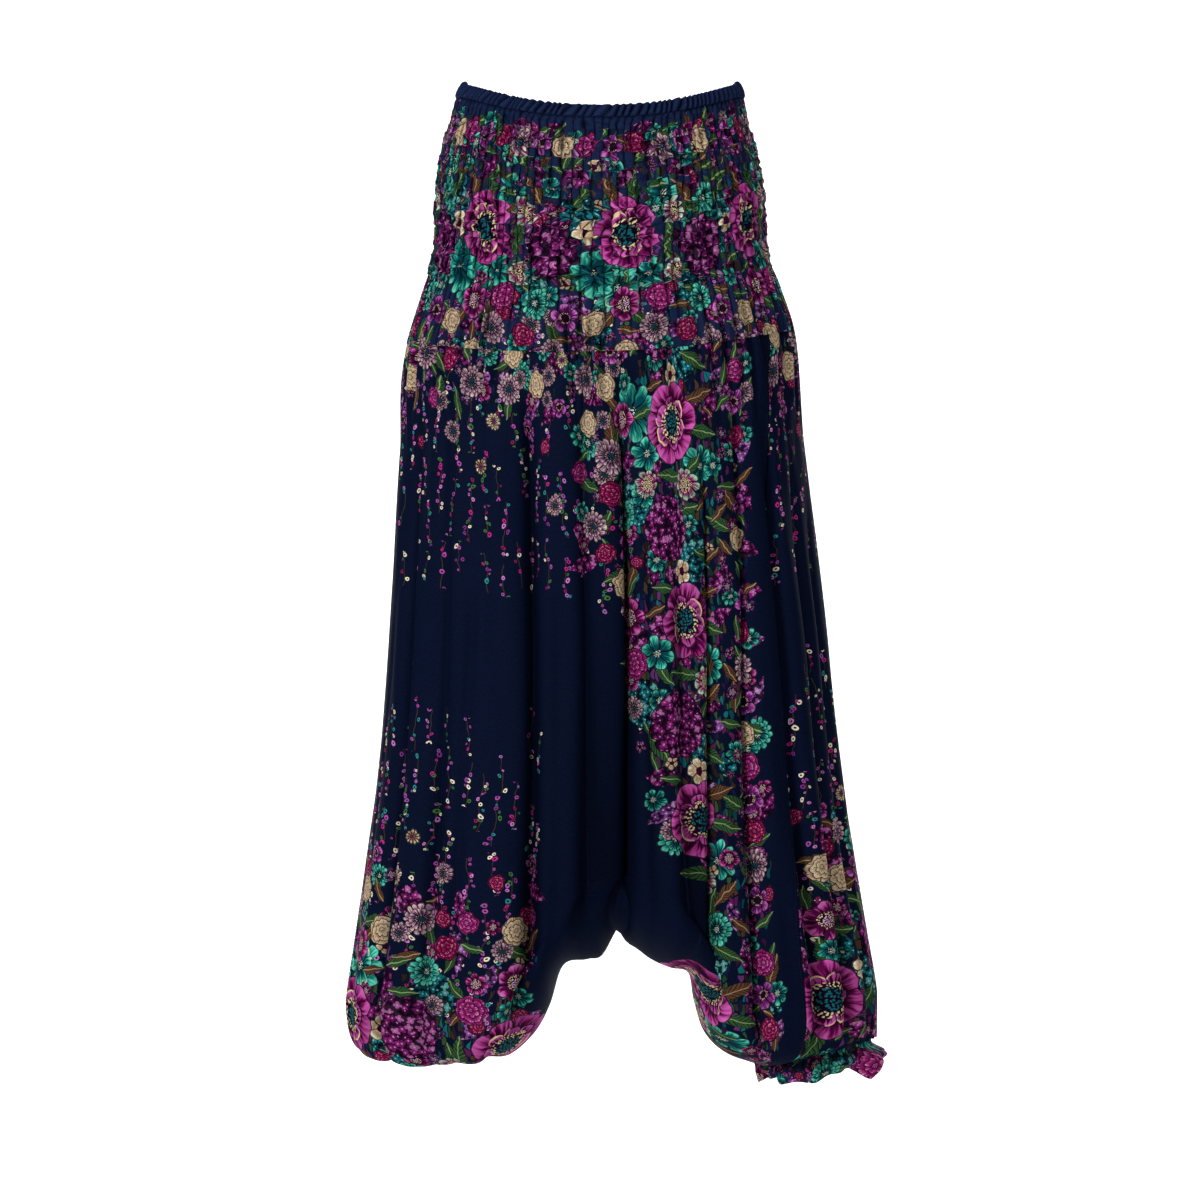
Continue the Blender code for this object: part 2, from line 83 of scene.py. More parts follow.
# Section of the casing: level above the casing seam, how far out it stands, and its gathers' height.
CASING_COLUMNS = ("above", "out", "wave")
CASING = (
    (0.0002, 0.0001, 0.0010),
    (0.0012, 0.0005, 0.0017),
    (0.0030, 0.0012, 0.0024),
    (0.0055, 0.0015, 0.0027),
    (0.0082, 0.0014, 0.0027),
    (0.0106, 0.0008, 0.0025),
    (0.0122, 0.0000, 0.0022),
    (0.0131, -0.0011, 0.0018),
    (0.0128, -0.0024, 0.0014),
    (0.0108, -0.0033, 0.0011),
    (0.0070, -0.0038, 0.0010),
    (0.0030, -0.0038, 0.0008),
    (0.0002, -0.0032, 0.0006),
    (-0.0001, -0.0016, 0.0006),
)
CASING_SLANT = -0.75         # gathers that a gather leans across on its way up
COLUMNS_PER_GATHER = 8
RIDGE = 0.7                  # power that sharpens the valleys between gathers
CASING_STRAY = 0.7           # how far a gather strays from its place, in gathers,
CASING_UNEVEN = 0.5          # and how much its height differs, as a share
CASING_GROWTH = 1.3          # the table's gathers are raised by this
CREST_RISE, CREST_SINK = 1.7, 1.25    # a crest's rise over the valley, and how far that lies inside
FRILL_FROM, FRILL_TO, FRILL_RISE = 0.006, 0.013, 0.4    # the upper edge is frilled up and down too
TIP_RISE = 0.0045            # the casing is pressed flat at the sides and stands up there in a tip
TIP_FROM, TIP_REACH = 0.002, 0.045    # level where it starts, and its reach round the waist
# Lighter navy for the gathered casing, yoke and ruffles: painted light on the same cloth that the leg
# panels show deeper.
NAVY, NAVY_DARK = "#1d2a4d", "#121b36"
HOLLOW_SHADE = 0.92          # share of its brightness that painted shade takes from the cloth deep between two gathers,
CREST_PAINTED_HIGHLIGHT = 0.42            # and how much of that it gains on their crests as a painted highlight
RAYON = {"Roughness": 0.6, "Specular IOR Level": 0.01}
WEAVE, WEAVE_ALONG = 1500, 500      # threads' noise per metre across and along them
WEAVE_RELIEF = (0.35, 0.0002)       # strength and depth of the weave's relief


def column(rows, names, wanted):
    """One named column of a table, as an array."""
    return np.array([row[names.index(wanted)] for row in rows])


def along(rows, names, wanted, where):
    """Read a column smoothly at new values of the table's first column."""
    keys, values = column(rows, names, names[0]), column(rows, names, wanted)
    if keys[0] > keys[-1]:
        keys, values = keys[::-1], values[::-1]
    slopes = np.gradient(values, keys)
    where = np.clip(where, keys[0], keys[-1])
    left = np.clip(np.searchsorted(keys, where, side="right") - 1, 0, len(keys) - 2)
    span = keys[left + 1] - keys[left]
    t = (where - keys[left]) / span
    rise = values[left + 1] - values[left]
    low, high = slopes[left] * span, slopes[left + 1] * span
    return values[left] + t * (low + t * (3 * rise - 2 * low - high + t * (low + high - 2 * rise)))


def ease(start, end, value):
    """0 before start, 1 after end, smooth between."""
    t = np.clip((value - start) / (end - start), 0, 1)
    return t * t * (3 - 2 * t)


def across(around):
    """Share of the width from -X to +X, and the side of the garment: -1 front, +1 back."""
    around = np.mod(around, 2.0)
    return np.where(around <= 1, around, 2 - around), np.where(around <= 1, -1.0, 1.0)


def ring(around, level):
    """Point of the plain garment at a place round it and a level: 0 and 2 are the side at -X,
    0.5 the middle of the front, 1 the side at +X and 1.5 the middle of the back."""
    share, side = across(around)
    angle = (share - 0.5) * math.pi
    power = 2 / ROUNDNESS
    sine = np.sign(np.sin(angle)) * np.abs(np.sin(angle)) ** power
    cosine = np.abs(np.cos(angle)) ** power
    front = along(RINGS, RING_COLUMNS, "front_depth", level)
    back = along(RINGS, RING_COLUMNS, "back_depth", level)
    x = along(RINGS, RING_COLUMNS, "centre_x", level)
    x = x + along(RINGS, RING_COLUMNS, "half_width", level) * sine
    y = side * np.where(side < 0, front, back) * cosine
    dip = np.where(side < 0, along(DIPS, DIP_COLUMNS, "front", level),
                   along(DIPS, DIP_COLUMNS, "back", level))
    z = level - dip * np.cos(angle) ** 2
    tilt = ease(-0.02, YOKE_LEVEL, level) * (1 - ease(YOKE_LEVEL, -0.45, level))
    return np.stack([x, y, z + YOKE_TILT * tilt * sine], axis=-1)


def level_outward(around, level):
    """Level directions straight out of the plain garment."""
    way = ring(around + STEP, level) - ring(around - STEP, level)
    out = np.stack([way[..., 1], -way[..., 0], 0 * way[..., 0]], axis=-1)
    return out / np.linalg.norm(out, axis=-1, keepdims=True)


def wander(seed, knots, where):
    """Smooth uneven numbers from -1 to 1 at places from 0 to 1, the same at both ends."""
    values = np.random.default_rng(seed).uniform(-1, 1, knots)
    place = np.mod(where, 1.0) * knots
    left = np.floor(place).astype(int)
    t = place - left
    t = t * t * (3 - 2 * t)
    return values[left % knots] * (1 - t) + values[(left + 1) % knots] * t


def finished_cloth(name, mesh, points, flat, inside, painted_shading, wrap=0.0):
    """Make the named object from a closed bmesh whose vertices are taken to their places, with the
    flat cut of the cloth as its UV map, a mark on the faces of its inner side, and a mark of painted
    shading at each point: painted shade deep between two gathers or rolls, painted highlight below zero."""
    bmesh.ops.recalc_face_normals(mesh, faces=mesh.faces)
    data = bpy.data.meshes.new(name)
    mesh.to_mesh(data)
    mesh.free()
    data.vertices.foreach_set("co", points.astype(np.float32).ravel())
    corner = np.empty(len(data.loops), np.int32)
    data.loops.foreach_get("vertex_index", corner)
    first = np.empty(len(data.polygons), np.int32)
    data.polygons.foreach_get("loop_start", first)
    places = flat[corner]
    if wrap:
        low = np.maximum.reduceat(places[:, 0], first) - np.minimum.reduceat(places[:, 0], first)
        counts = np.diff(np.append(first, len(corner)))
        crosses = np.repeat(low > wrap / 2, counts)
        places[crosses & (places[:, 0] < wrap / 2), 0] += wrap
    uv_map = data.uv_layers.new(name="flat_cut")
    uv_map.uv.foreach_set("vector", places.astype(np.float32).ravel())
    mark = data.attributes.new("inside", "FLOAT", "FACE")
    mark.data.foreach_set("value", np.minimum.reduceat(inside[corner], first).astype(np.float32))
    # Painted shading: above zero it is painted shade in the hollows, below zero painted highlight on
    # crests.
    deep = data.attributes.new("painted_shading", "FLOAT", "POINT")
    deep.data.foreach_set("value", painted_shading.astype(np.float32))
    co = points[corner[first]]
    second, third = points[corner[first + 1]], points[corner[first + 2]]
    if np.einsum("ij,ij->i", co, np.cross(second, third)).sum() < 0:
        data.flip_normals()
    data.shade_smooth()
    piece = bpy.data.objects.new(name, data)
    bpy.context.scene.collection.objects.link(piece)
    return piece


def cloth_tube(name, points, flat, inside, painted_shading, wrap):
    """A closed wall that goes all the way round: its section is a ring of points too."""
    columns, rows = points.shape[0], points.shape[1]
    mesh = bmesh.new()
    section = bmesh.ops.create_circle(mesh, segments=rows, radius=1)
    turn = Matrix.Translation((3, 0, 0)) @ Matrix.Rotation(math.pi / 2, 4, "X")
    bmesh.ops.transform(mesh, matrix=turn, verts=section["verts"])
    bmesh.ops.spin(mesh, geom=mesh.verts[:] + mesh.edges[:], axis=(0, 0, 1), steps=columns,
                   angle=2 * math.pi, use_merge=True)
    at = np.array([vertex.co for vertex in mesh.verts])
    turned = np.arctan2(at[:, 1], at[:, 0]) / (2 * math.pi) % 1
    in_section = np.arctan2(at[:, 2], np.hypot(at[:, 0], at[:, 1]) - 3) / (2 * math.pi) % 1
    i = np.rint(turned * columns).astype(int) % columns
    j = np.rint(in_section * rows).astype(int) % rows
    return finished_cloth(name, mesh, points[i, j], flat[i, j], inside[j], painted_shading[i, j], wrap)


def linear(colour):
    """An sRGB hex colour as linear numbers."""
    parts = [int(colour[i:i + 2], 16) / 255 for i in (1, 3, 5)]
    return [p / 12.92 if p <= 0.04045 else ((p + 0.055) / 1.055) ** 2.4 for p in parts] + [1.0]


def node(tree, kind, *links, out=0, **settings):
    """Add a node with its settings, link or set its inputs in order, and give one of its outputs.
    A kind in capitals is the operation of a Math node, and a Mix is of colours unless it says
    otherwise.  Sockets that its settings put out of use don't count."""
    if kind.isupper():
        kind, settings["operation"] = "Math", kind
    if kind == "Mix":
        settings.setdefault("data_type", "RGBA")
    made = tree.nodes.new("ShaderNode" + kind)
    for name, value in settings.items():
        setattr(made, name, value)
    for socket, link in zip([socket for socket in made.inputs if socket.enabled], links):
        if isinstance(link, bpy.types.NodeSocket):
            tree.links.new(link, socket)
        elif link is not None:
            socket.default_value = link
    return [socket for socket in made.outputs if socket.enabled][out]


def shaded(tree, colour):
    """A colour of the cloth with painted shade, darker deep between two gathers or rolls, and painted
    highlight, lighter on the gathers' crests, as the mark of painted shading on its points says."""
    deep = node(tree, "Attribute", attribute_name="painted_shading", out=2)
    # Painted shade and highlight: the colour is multiplied below one in the hollows and above one on
    # crests.
    left = node(tree, "MULTIPLY_ADD", deep, -HOLLOW_SHADE, 1.0)
    grey = node(tree, "CombineColor", left, left, left)
    return node(tree, "Mix", 1.0, colour, grey, blend_type="MULTIPLY")


def rayon(name, light, dark):
    """Woven rayon dyed navy: a fine plain weave, which gives a faint grain, slubs and a low, broad
    shine, with painted shade between gathers and painted highlight on their crests.  Gives the material
    and the colour of its ground."""
    material = bpy.data.materials.new(name)
    material.use_nodes = True
    tree = material.node_tree
    shader = tree.nodes["Principled BSDF"]
    for socket, value in RAYON.items():
        shader.inputs[socket].default_value = value
    cloth = node(tree, "UVMap", uv_map="flat_cut")
    threads = node(tree, "VectorMath", cloth, (WEAVE, WEAVE_ALONG, 0.0), operation="MULTIPLY")
    slubs = node(tree, "TexNoise", threads, 1.0, 2.0, noise_dimensions="2D")
    ground = node(tree, "Mix", node(tree, "MapRange", slubs, 0.35, 0.65), linear(dark), linear(light))
    raised = node(tree, "Bump", *WEAVE_RELIEF, None, slubs)
    tree.links.new(raised, shader.inputs["Normal"])
    tree.links.new(shaded(tree, ground), shader.inputs["Base Color"])
    return material, ground


columns = GATHERS * COLUMNS_PER_GATHER
around = np.arange(columns)[:, None] / columns * 2
above = column(CASING, CASING_COLUMNS, "above")[None, :]
level = CASING_LEVEL + above
phase = around / 2 * GATHERS + CASING_SLANT * above / (TOP_LEVEL - CASING_LEVEL)
phase = phase + CASING_STRAY * wander(1, 61, around / 2)
size = 1 + CASING_UNEVEN * wander(2, GATHERS, around / 2)
ridge = np.abs(np.cos(phase * math.pi)) ** RIDGE
crest = CREST_RISE * ridge - CREST_SINK
out = column(CASING, CASING_COLUMNS, "out")[None, :]
on_outside = ease(-0.001, 0.001, out)
# Painted shade deep between the casing's gathers and painted highlight on their crests, outer face only.
casing_painted_shading = ((1 + CREST_PAINTED_HIGHLIGHT) * (1 - ridge) ** 0.9 - CREST_PAINTED_HIGHLIGHT) * on_outside
wave = CASING_GROWTH * column(CASING, CASING_COLUMNS, "wave")[None, :] * size * crest
points = ring(around, level) + level_outward(around, level) * (out + wave)[..., None]
points[..., 2] += FRILL_RISE * wave * ease(FRILL_FROM, FRILL_TO, above)
from_side = np.abs(np.mod(around + 0.5, 1.0) - 0.5)
points[..., 2] += TIP_RISE * np.exp(-(from_side / TIP_REACH) ** 2) * ease(TIP_FROM, FRILL_TO, above)
flat = np.stack(np.broadcast_arrays(around / 2 * YOKE_FLAT,
                                    np.linspace(0, CASING_FLAT, len(CASING))[None, :]), axis=-1)
waist_casing = cloth_tube("waist_casing_cloth", points, flat, np.zeros(len(CASING)), casing_painted_shading,
                          YOKE_FLAT)
navy_rayon = rayon("navy_rayon_challis", NAVY, NAVY_DARK)[0]
waist_casing.data.materials.append(navy_rayon)
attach(waist_casing, "root")
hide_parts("waist_casing")


# ---- Shirred yoke ----
# One band of printed rayon round the hips, in a front and a back piece joined in the side seams.
# Rows of elastic thread shirr it into fine crinkled gathers, which open out below the last row.
SHIRR_LEVEL = -0.175         # lowest row of elastic thread
SHIRR_PITCH = 0.0098         # space between two rows
GATHER_HEIGHT = 0.0060       # height of the gathers from valley to crest
PINCHED = 0.35               # least share of the height left at a row of thread
PINCH_RANGE = 0.55           # and how much more is left of some gathers
ROW_WOBBLE = 0.35            # how far a row of thread strays from its level, in rows
GATHER_CREST = 0.0008        # the crests stand this far outside the plain ring
CLOTH = 0.0009               # thickness of the gathered cloth
ROWS_PER_BAND = 5
SIDE_AT_YOKE = 0.825         # where round the yoke the wearer's left side seam lies
PHASE_JITTER = 0.30          # how far a gather strays from its place, in gathers,
SLOW_JITTER = 0.8            # and how far whole groups of them do
LEAST_GROWTH, MOST_GROWTH = 0.5, 1.2  # gathers differ in height between these shares
LOOSE_FROM, LOOSE_TO = 0.3, 1.8       # rows before and after the last one that set the gathers free
OVERHANG = 0.18              # how far a crest is pushed sideways, in gathers
YOKE_DRAW = 1.06             # length of the yoke's cloth for each length that it shows
FOLLOW = 0.55                # share in which the print follows the cloth into the gathers
LOOSE_FOLDS = 58             # soft folds round the garment at the yoke seam
LOOSE_HEIGHT = 0.0056        # their height from valley to crest
LOOSE_REACH = 0.10           # how far down the leg panels they reach
WAVE_COLUMNS = ("seed", "knots", "drift", "size")   # knots round the garment, drift down the cloth
LOOSE_STRAYS = ((11, 31, 0.0, 1.1), (12, 53, 0.35, 0.35))   # how far they stray, in folds,
LOOSE_UNEVEN = ((13, 45, 0.2, 0.7),)                        # and how much their heights differ
LOOSE_ROWS = 25              # rows of points below the last row of thread
LOOSE_PALER = 0.55           # the gathers' painted shade is this much weaker where they are free,
FOLD_SHADE = 0.7             # and the troughs between the loose folds get this much painted shade
SEWN_REACH = 0.010           # the casing seam holds the gathers flat over this length,
SEWN_HEIGHT = 0.0020         # this high
SEWN_INSET = 0.0013          # and this far inside the plain ring
LOOSE_LEFT = 0.35            # share of the gathers' height that is left in the pressed yoke seam
HOLLOW_FROM = 0.80           # painted shade falls on the gathers below this share of their height
FALL = 0.0016                # how far the cloth puffs down over each row of thread


def row_stray(around, row):
    """How far a row of thread strays from its level, from -1 to 1."""
    return wander(4, 43, around / 2 + 0.13 * row)


def gathered(around, level):
    """How far the shirred cloth stands out, how far it is pushed sideways, in gathers, and how far
    it sags over the threads."""
    last = (CASING_LEVEL - SHIRR_LEVEL) / SHIRR_PITCH
    rows = (CASING_LEVEL - level) / SHIRR_PITCH
    loose = ease(last - LOOSE_FROM, last + LOOSE_TO, rows)
    bent = rows + ROW_WOBBLE * row_stray(around, np.floor(rows)) * (1 - loose)
    band = np.clip(bent, 0, last)
    number = np.floor(band)
    t = band - number
    bands = int(last) + 3
    random = np.random.default_rng(7)
    stray = random.uniform(-1, 1, (bands, GATHERS))
    growth = random.uniform(LEAST_GROWTH, MOST_GROWTH, (bands, GATHERS))
    pinch = random.uniform(0.0, 1.0, (bands, GATHERS))
    place = around / 2 * GATHERS + SLOW_JITTER * wander(3, 29, around / 2)

    def read(table, row):
        spot = np.mod(place, GATHERS)
        left = np.floor(spot).astype(int)
        s = spot - left
        s = s * s * (3 - 2 * s)
        row = np.clip(row.astype(int), 0, bands - 1)
        return table[row, left % GATHERS] * (1 - s) + table[row, (left + 1) % GATHERS] * s

    blend = t * t * (3 - 2 * t)
    shift, height, held = [read(table, number) * (1 - blend) + read(table, number + 1) * blend
                           for table in (stray, growth, pinch)]
    shift = PHASE_JITTER * shift
    held = PINCHED + PINCH_RANGE * held
    puff = np.where(band < last, np.sin(np.clip(t, 0, 1) * math.pi) ** RIDGE, 0.0)
    puff = puff * (1 - loose) + loose
    height = GATHER_HEIGHT * height * (held + (1 - held) * puff)
    turn = (place + shift) * 2 * math.pi
    crest = np.abs(np.cos(turn / 2)) ** RIDGE
    sag = FALL * np.sin(np.clip(t, 0, 1) * 2 * math.pi - 0.6) * (band < last) * (1 - loose)
    return height * crest, OVERHANG * np.sin(turn + 0.7), sag


def waves(table, around, level):
    """The sum of the smooth uneven waves of a table."""
    height = np.zeros(np.broadcast(around, level).shape)
    for row in table:
        one = dict(zip(WAVE_COLUMNS, row))
        height += one["size"] * wander(one["seed"], one["knots"], around / 2 + one["drift"] * level)
    return height


def loose_folds(around, level):
    """How far the cloth stands out where the gathers open into fewer, softer folds, which die away
    over the top of the leg panels."""
    phase = around / 2 * LOOSE_FOLDS + waves(LOOSE_STRAYS, around, level)
    height = 1 + waves(LOOSE_UNEVEN, around, level)
    grown = ease(SHIRR_LEVEL + 0.01, YOKE_LEVEL, level)
    left = 1 - ease(YOKE_LEVEL - 0.005, YOKE_LEVEL - LOOSE_REACH, level)
    crest = (0.5 + 0.5 * np.cos(phase * 2 * math.pi)) ** 0.9 - 0.5
    return LOOSE_HEIGHT * height * crest * grown * (0.35 + 0.65 * left) * (left > 0) * left ** 0.3


def shirred_cloth(around, level):
    """Point of the shirred yoke's outer face."""
    stand, sideways, sag = gathered(around, level)
    pressed = ease(SHIRR_LEVEL, YOKE_LEVEL, level)
    sewn = 1 - ease(CASING_LEVEL, CASING_LEVEL - SEWN_REACH, level)
    moved = around + sideways * 2 / GATHERS * (1 - sewn) * (1 - pressed)
    out = (stand - GATHER_HEIGHT + GATHER_CREST) * (1 - pressed)
    out = out + sewn * (SEWN_HEIGHT * (stand / GATHER_HEIGHT - 0.5) - SEWN_INSET - out)
    out = out + pressed * (LOOSE_LEFT * (stand - 0.5 * GATHER_HEIGHT) + CLOTH / 2)
    out = out + loose_folds(around, level)
    place = ring(moved, level) + level_outward(moved, level) * out[..., None]
    place[..., 2] -= sag * ease(YOKE_LEVEL, SHIRR_LEVEL, level) * (1 - sewn)
    return place


def surface_normals(points):
    """Outward directions at the points of a grid of cloth that runs round and down."""
    round_way, down_way = np.gradient(points, axis=0), np.gradient(points, axis=1)
    normal = np.cross(down_way, round_way)
    return normal / np.maximum(np.linalg.norm(normal, axis=-1, keepdims=True), 1e-12)


def cloth_wall(name, outer, inner, outer_flat, inner_flat, outer_painted_shading):
    """A closed thin wall of cloth between an outer and a coarser inner grid of points."""
    mesh = bmesh.new()
    made = []
    for grid, height in ((outer, 1), (inner, 0)):
        grown = bmesh.ops.create_grid(mesh, x_segments=grid.shape[0] - 1,
                                      y_segments=grid.shape[1] - 1, size=1)
        bmesh.ops.translate(mesh, vec=(0, 0, height), verts=grown["verts"])
        made.append(grid.shape)
    bmesh.ops.bridge_loops(mesh, edges=[edge for edge in mesh.edges if edge.is_boundary])
    at = np.array([vertex.co for vertex in mesh.verts])
    points, flat, painted_shading = np.empty((len(at), 3)), np.empty((len(at), 2)), np.empty(len(at))
    plain = np.zeros(inner.shape[:2])
    for grid, cut, deep, height in ((outer, outer_flat, outer_painted_shading, 1), (inner, inner_flat, plain, 0)):
        own = np.abs(at[:, 2] - height) < 0.5
        i = np.rint((at[own, 0] + 1) / 2 * (grid.shape[0] - 1)).astype(int)
        j = np.rint((at[own, 1] + 1) / 2 * (grid.shape[1] - 1)).astype(int)
        points[own], flat[own], painted_shading[own] = grid[i, j], cut[i, j], deep[i, j]
    return finished_cloth(name, mesh, points, flat, (at[:, 2] < 0.5).astype(float), painted_shading)


def seam_edges(points, low_gap, high_gap):
    """Stop a grid's first and last rows a little before the seams above and below it."""
    moved = points.copy()
    moved[:, 0, 2] -= low_gap
    moved[:, -1, 2] += high_gap
    return moved


def yoke(name, start, end):
    """A piece of the shirred yoke between two places round the garment."""
    shirred = int(round((CASING_LEVEL - SHIRR_LEVEL) / SHIRR_PITCH)) * ROWS_PER_BAND
    levels = np.concatenate([np.linspace(CASING_LEVEL, SHIRR_LEVEL, shirred + 1),
                             np.linspace(SHIRR_LEVEL, YOKE_LEVEL, LOOSE_ROWS)[1:]])
    if len(levels) % 2 == 0:
        levels = np.append(levels[:-1], [levels[-1] + 0.0006, levels[-1]])
    count = int(round((end - start) / 2 * GATHERS * COLUMNS_PER_GATHER / 2)) * 2
    around, level = np.meshgrid(np.linspace(start, end, count + 1), levels, indexing="ij")
    outer = shirred_cloth(around, level)
    inner = outer - surface_normals(outer) * CLOTH
    outer, inner = [seam_edges(wall, SEAM_GAP / 2, SEAM_GAP / 2) for wall in (outer, inner)]
    steps = np.linalg.norm(np.diff(outer, axis=0), axis=-1)
    follows = np.concatenate([np.zeros((1, len(levels))), np.cumsum(steps, axis=0)])
    follows = start + (end - start) * follows / follows[-1]
    places = FOLLOW * follows + (1 - FOLLOW) * around
    flat = np.stack([places / 2 * YOKE_FLAT, (CASING_LEVEL - level) * YOKE_DRAW], axis=-1)
    # Painted shade deep between the shirred gathers, painted highlight on their crests, paler where they
    # open out, and painted shade in the loose folds' troughs.
    stand = gathered(around, level)[0] / (HOLLOW_FROM * GATHER_HEIGHT)
    painted_shading = (1 + CREST_PAINTED_HIGHLIGHT) * (1 - np.clip(stand, 0, 1)) - CREST_PAINTED_HIGHLIGHT
    painted_shading = painted_shading * (1 - LOOSE_PALER * ease(SHIRR_LEVEL, YOKE_LEVEL, level))
    open_folds = np.clip(-loose_folds(around, level) / (0.6 * LOOSE_HEIGHT), 0, 1) ** 2
    painted_shading = np.maximum(painted_shading, FOLD_SHADE * open_folds)
    return cloth_wall(name, outer, inner[::2, ::2], flat, flat[::2, ::2], painted_shading)


# The print: a border of blooms along the cloth's edge, thinning out into hanging sprays on navy.
# Lengths of the print are in millimetres of flat cloth.
MM = 0.001
REPEAT = 194                 # length of one repeat of the border
INK = "#070612"              # the dark outlines
# Colours of the motifs: of the petals' blade, near their base, in the heart and at the rim.
COLOUR_COLUMNS = ("name", "tip", "base", "heart", "rim")
COLOURS = (
    ("poppy", "#b21f80", "#2e0426", "#0f6670", "#d66cc0"),
    ("magenta", "#b52c84", "#470a38", "#e3b4cf", "#dc7cc6"),
    ("crimson", "#a81a5c", "#40062a", "#e8a8bd", "#d85c96"),
    ("orchid", "#bd58b6", "#551452", "#2e0c28", "#dc86d6"),
    ("lilac", "#ad7aa8", "#583056", "#164f60", "#ead6b4"),
    ("violet", "#90509a", "#3a1547", "#cfa2d2", "#bd84c8"),
    ("cream", "#e6d8b0", "#8f6248", "#7c3484", "#f8f1d8"),
    ("ivory", "#eee4c2", "#b8977a", "#4f0c3a", "#fcf7e2"),
    ("teal", "#2fb79c", "#08404c", "#cfeede", "#7be2ca"),
    ("ring", "#4cc4a8", "#8a1a62", "#eddcab", "#f1e8c6"),
    ("plum", "#84256f", "#2a072a", "#cf7fc0", "#a8489a"),
    ("sea", "#1a7480", "#061a2c", "#7cc8c0", "#2a9aa0"),
    ("green", "#3b6238", "#101f18", "#8aa06c", "#557a48"),
    ("brown", "#6b4a34", "#241711", "#a78a66", "#86654a"),
)
# Kinds of motif, as the cloth's marks number them.
SPRAY, PETALLED, LAYERED, CLUSTER, PANICLE, LEAF = range(6)
# One repeat of the border: the layer, where each bloom lies along and across it, its radius and
# turn, its kind and colours, its petals, how deep the gaps between them are (a leaf's half width),
# and its heart's share.
BLOOM_COLUMNS = ("layer", "along", "across", "radius", "turn", "kind", "colours", "petals", "notch",
                 "heart")
BLOOMS = (
    (0, 52, 119, 41, 0.9, PETALLED, "poppy", 6, 0.15, 0.32),
    (0, 153, 137, 33, 0.0, CLUSTER, "plum", 11, 0.07, 0.0),
    (0, 8, 22, 14, 0.3, LAYERED, "magenta", 6, 0.10, 0.0),
    (0, 40, 24, 15, 1.9, PETALLED, "orchid", 5, 0.42, 0.26),
    (0, 73, 21, 13, 2.2, LAYERED, "crimson", 6, 0.10, 0.0),
    (0, 106, 26, 17, 0.0, PETALLED, "lilac", 17, 0.22, 0.24),
    (0, 139, 21, 14, 0.9, PETALLED, "orchid", 5, 0.42, 0.26),
    (0, 171, 25, 15, 4.0, LAYERED, "cream", 7, 0.12, 0.0),
    (0, 24, 45, 7, 1.5, PETALLED, "violet", 5, 0.40, 0.30),
    (0, 88, 44, 6, 0.5, PETALLED, "orchid", 5, 0.40, 0.30),
    (0, 127, 48, 7, 0.5, PETALLED, "violet", 5, 0.40, 0.30),
    (0, 188, 48, 6, 1.5, PETALLED, "magenta", 5, 0.40, 0.30),
    (0, 112, 97, 16, 0.4, PETALLED, "ring", 9, 0.24, 0.36),
    (1, 198, 116, 14, 1.0, PETALLED, "ivory", 5, 0.34, 0.30),
    (0, 110, 161, 14, 0.6, PETALLED, "ring", 8, 0.26, 0.38),
    (0, 160, 87, 17, 0.0, PETALLED, "teal", 15, 0.20, 0.18),
    (0, 46, 193, 20, 2.0, PETALLED, "magenta", 6, 0.26, 0.30),
    (0, 89, 187, 16, 1.0, LAYERED, "magenta", 7, 0.10, 0.0),
    (0, 138, 193, 17, 0.2, PETALLED, "teal", 14, 0.20, 0.18),
    (0, 172, 208, 16, 2.8, PETALLED, "orchid", 5, 0.42, 0.26),
    (0, 13, 216, 15, 5.0, LAYERED, "cream", 7, 0.12, 0.0),
    (0, 80, 222, 18, 0.0, PETALLED, "lilac", 16, 0.22, 0.22),
    (0, 118, 226, 13, 2.6, LAYERED, "crimson", 6, 0.10, 0.0),
    (0, 150, 246, 16, 0.9, PETALLED, "lilac", 15, 0.24, 0.22),
    (0, 50, 248, 15, 3.3, LAYERED, "cream", 7, 0.12, 0.0),
    (0, 6, 252, 16, 0.4, PETALLED, "lilac", 16, 0.22, 0.22),
    (0, 98, 266, 12, 1.2, LAYERED, "magenta", 6, 0.10, 0.0),
    (0, 180, 284, 9, 0.0, PETALLED, "cream", 12, 0.24, 0.28),
    (0, 32, 290, 11, 2.0, PETALLED, "orchid", 5, 0.40, 0.28),
    (0, 128, 298, 12, 0.7, PETALLED, "lilac", 14, 0.22, 0.24),
    (0, 72, 312, 9, 0.0, LAYERED, "crimson", 6, 0.10, 0.0),
    (0, 164, 328, 8, 0.0, PETALLED, "cream", 11, 0.24, 0.28),
    (1, 10, 160, 29, 0.6, PETALLED, "teal", 8, 0.36, 0.10),
    (1, 104, 125, 25, 1.7, LEAF, "green", 12, 0.30, 0.0),
    (1, 30, 75, 19, 4.4, LEAF, "brown", 8, 0.36, 0.0),
    (1, 62, 71, 20, 5.0, LEAF, "green", 9, 0.36, 0.0),
    (1, 80, 161, 18, 2.4, PETALLED, "teal", 6, 0.40, 0.14),
    (1, 128, 75, 17, 4.0, LEAF, "brown", 8, 0.36, 0.0),
    (1, 186, 79, 18, 5.3, LEAF, "green", 9, 0.36, 0.0),
    (2, 186, 102, 26, 0.3, CLUSTER, "sea", 9, 0.08, 0.0),
    (2, 96, 78, 22, 0.9, PETALLED, "teal", 9, 0.34, 0.14),
    (2, 38, 176, 30, 2.1, PETALLED, "teal", 10, 0.34, 0.12),
    (2, 128, 178, 24, 1.2, CLUSTER, "sea", 9, 0.08, 0.0),
    (1, 62, 208, 19, 0.7, LEAF, "green", 9, 0.34, 0.0),
    (1, 28, 210, 17, 2.3, LEAF, "brown", 8, 0.36, 0.0),
)
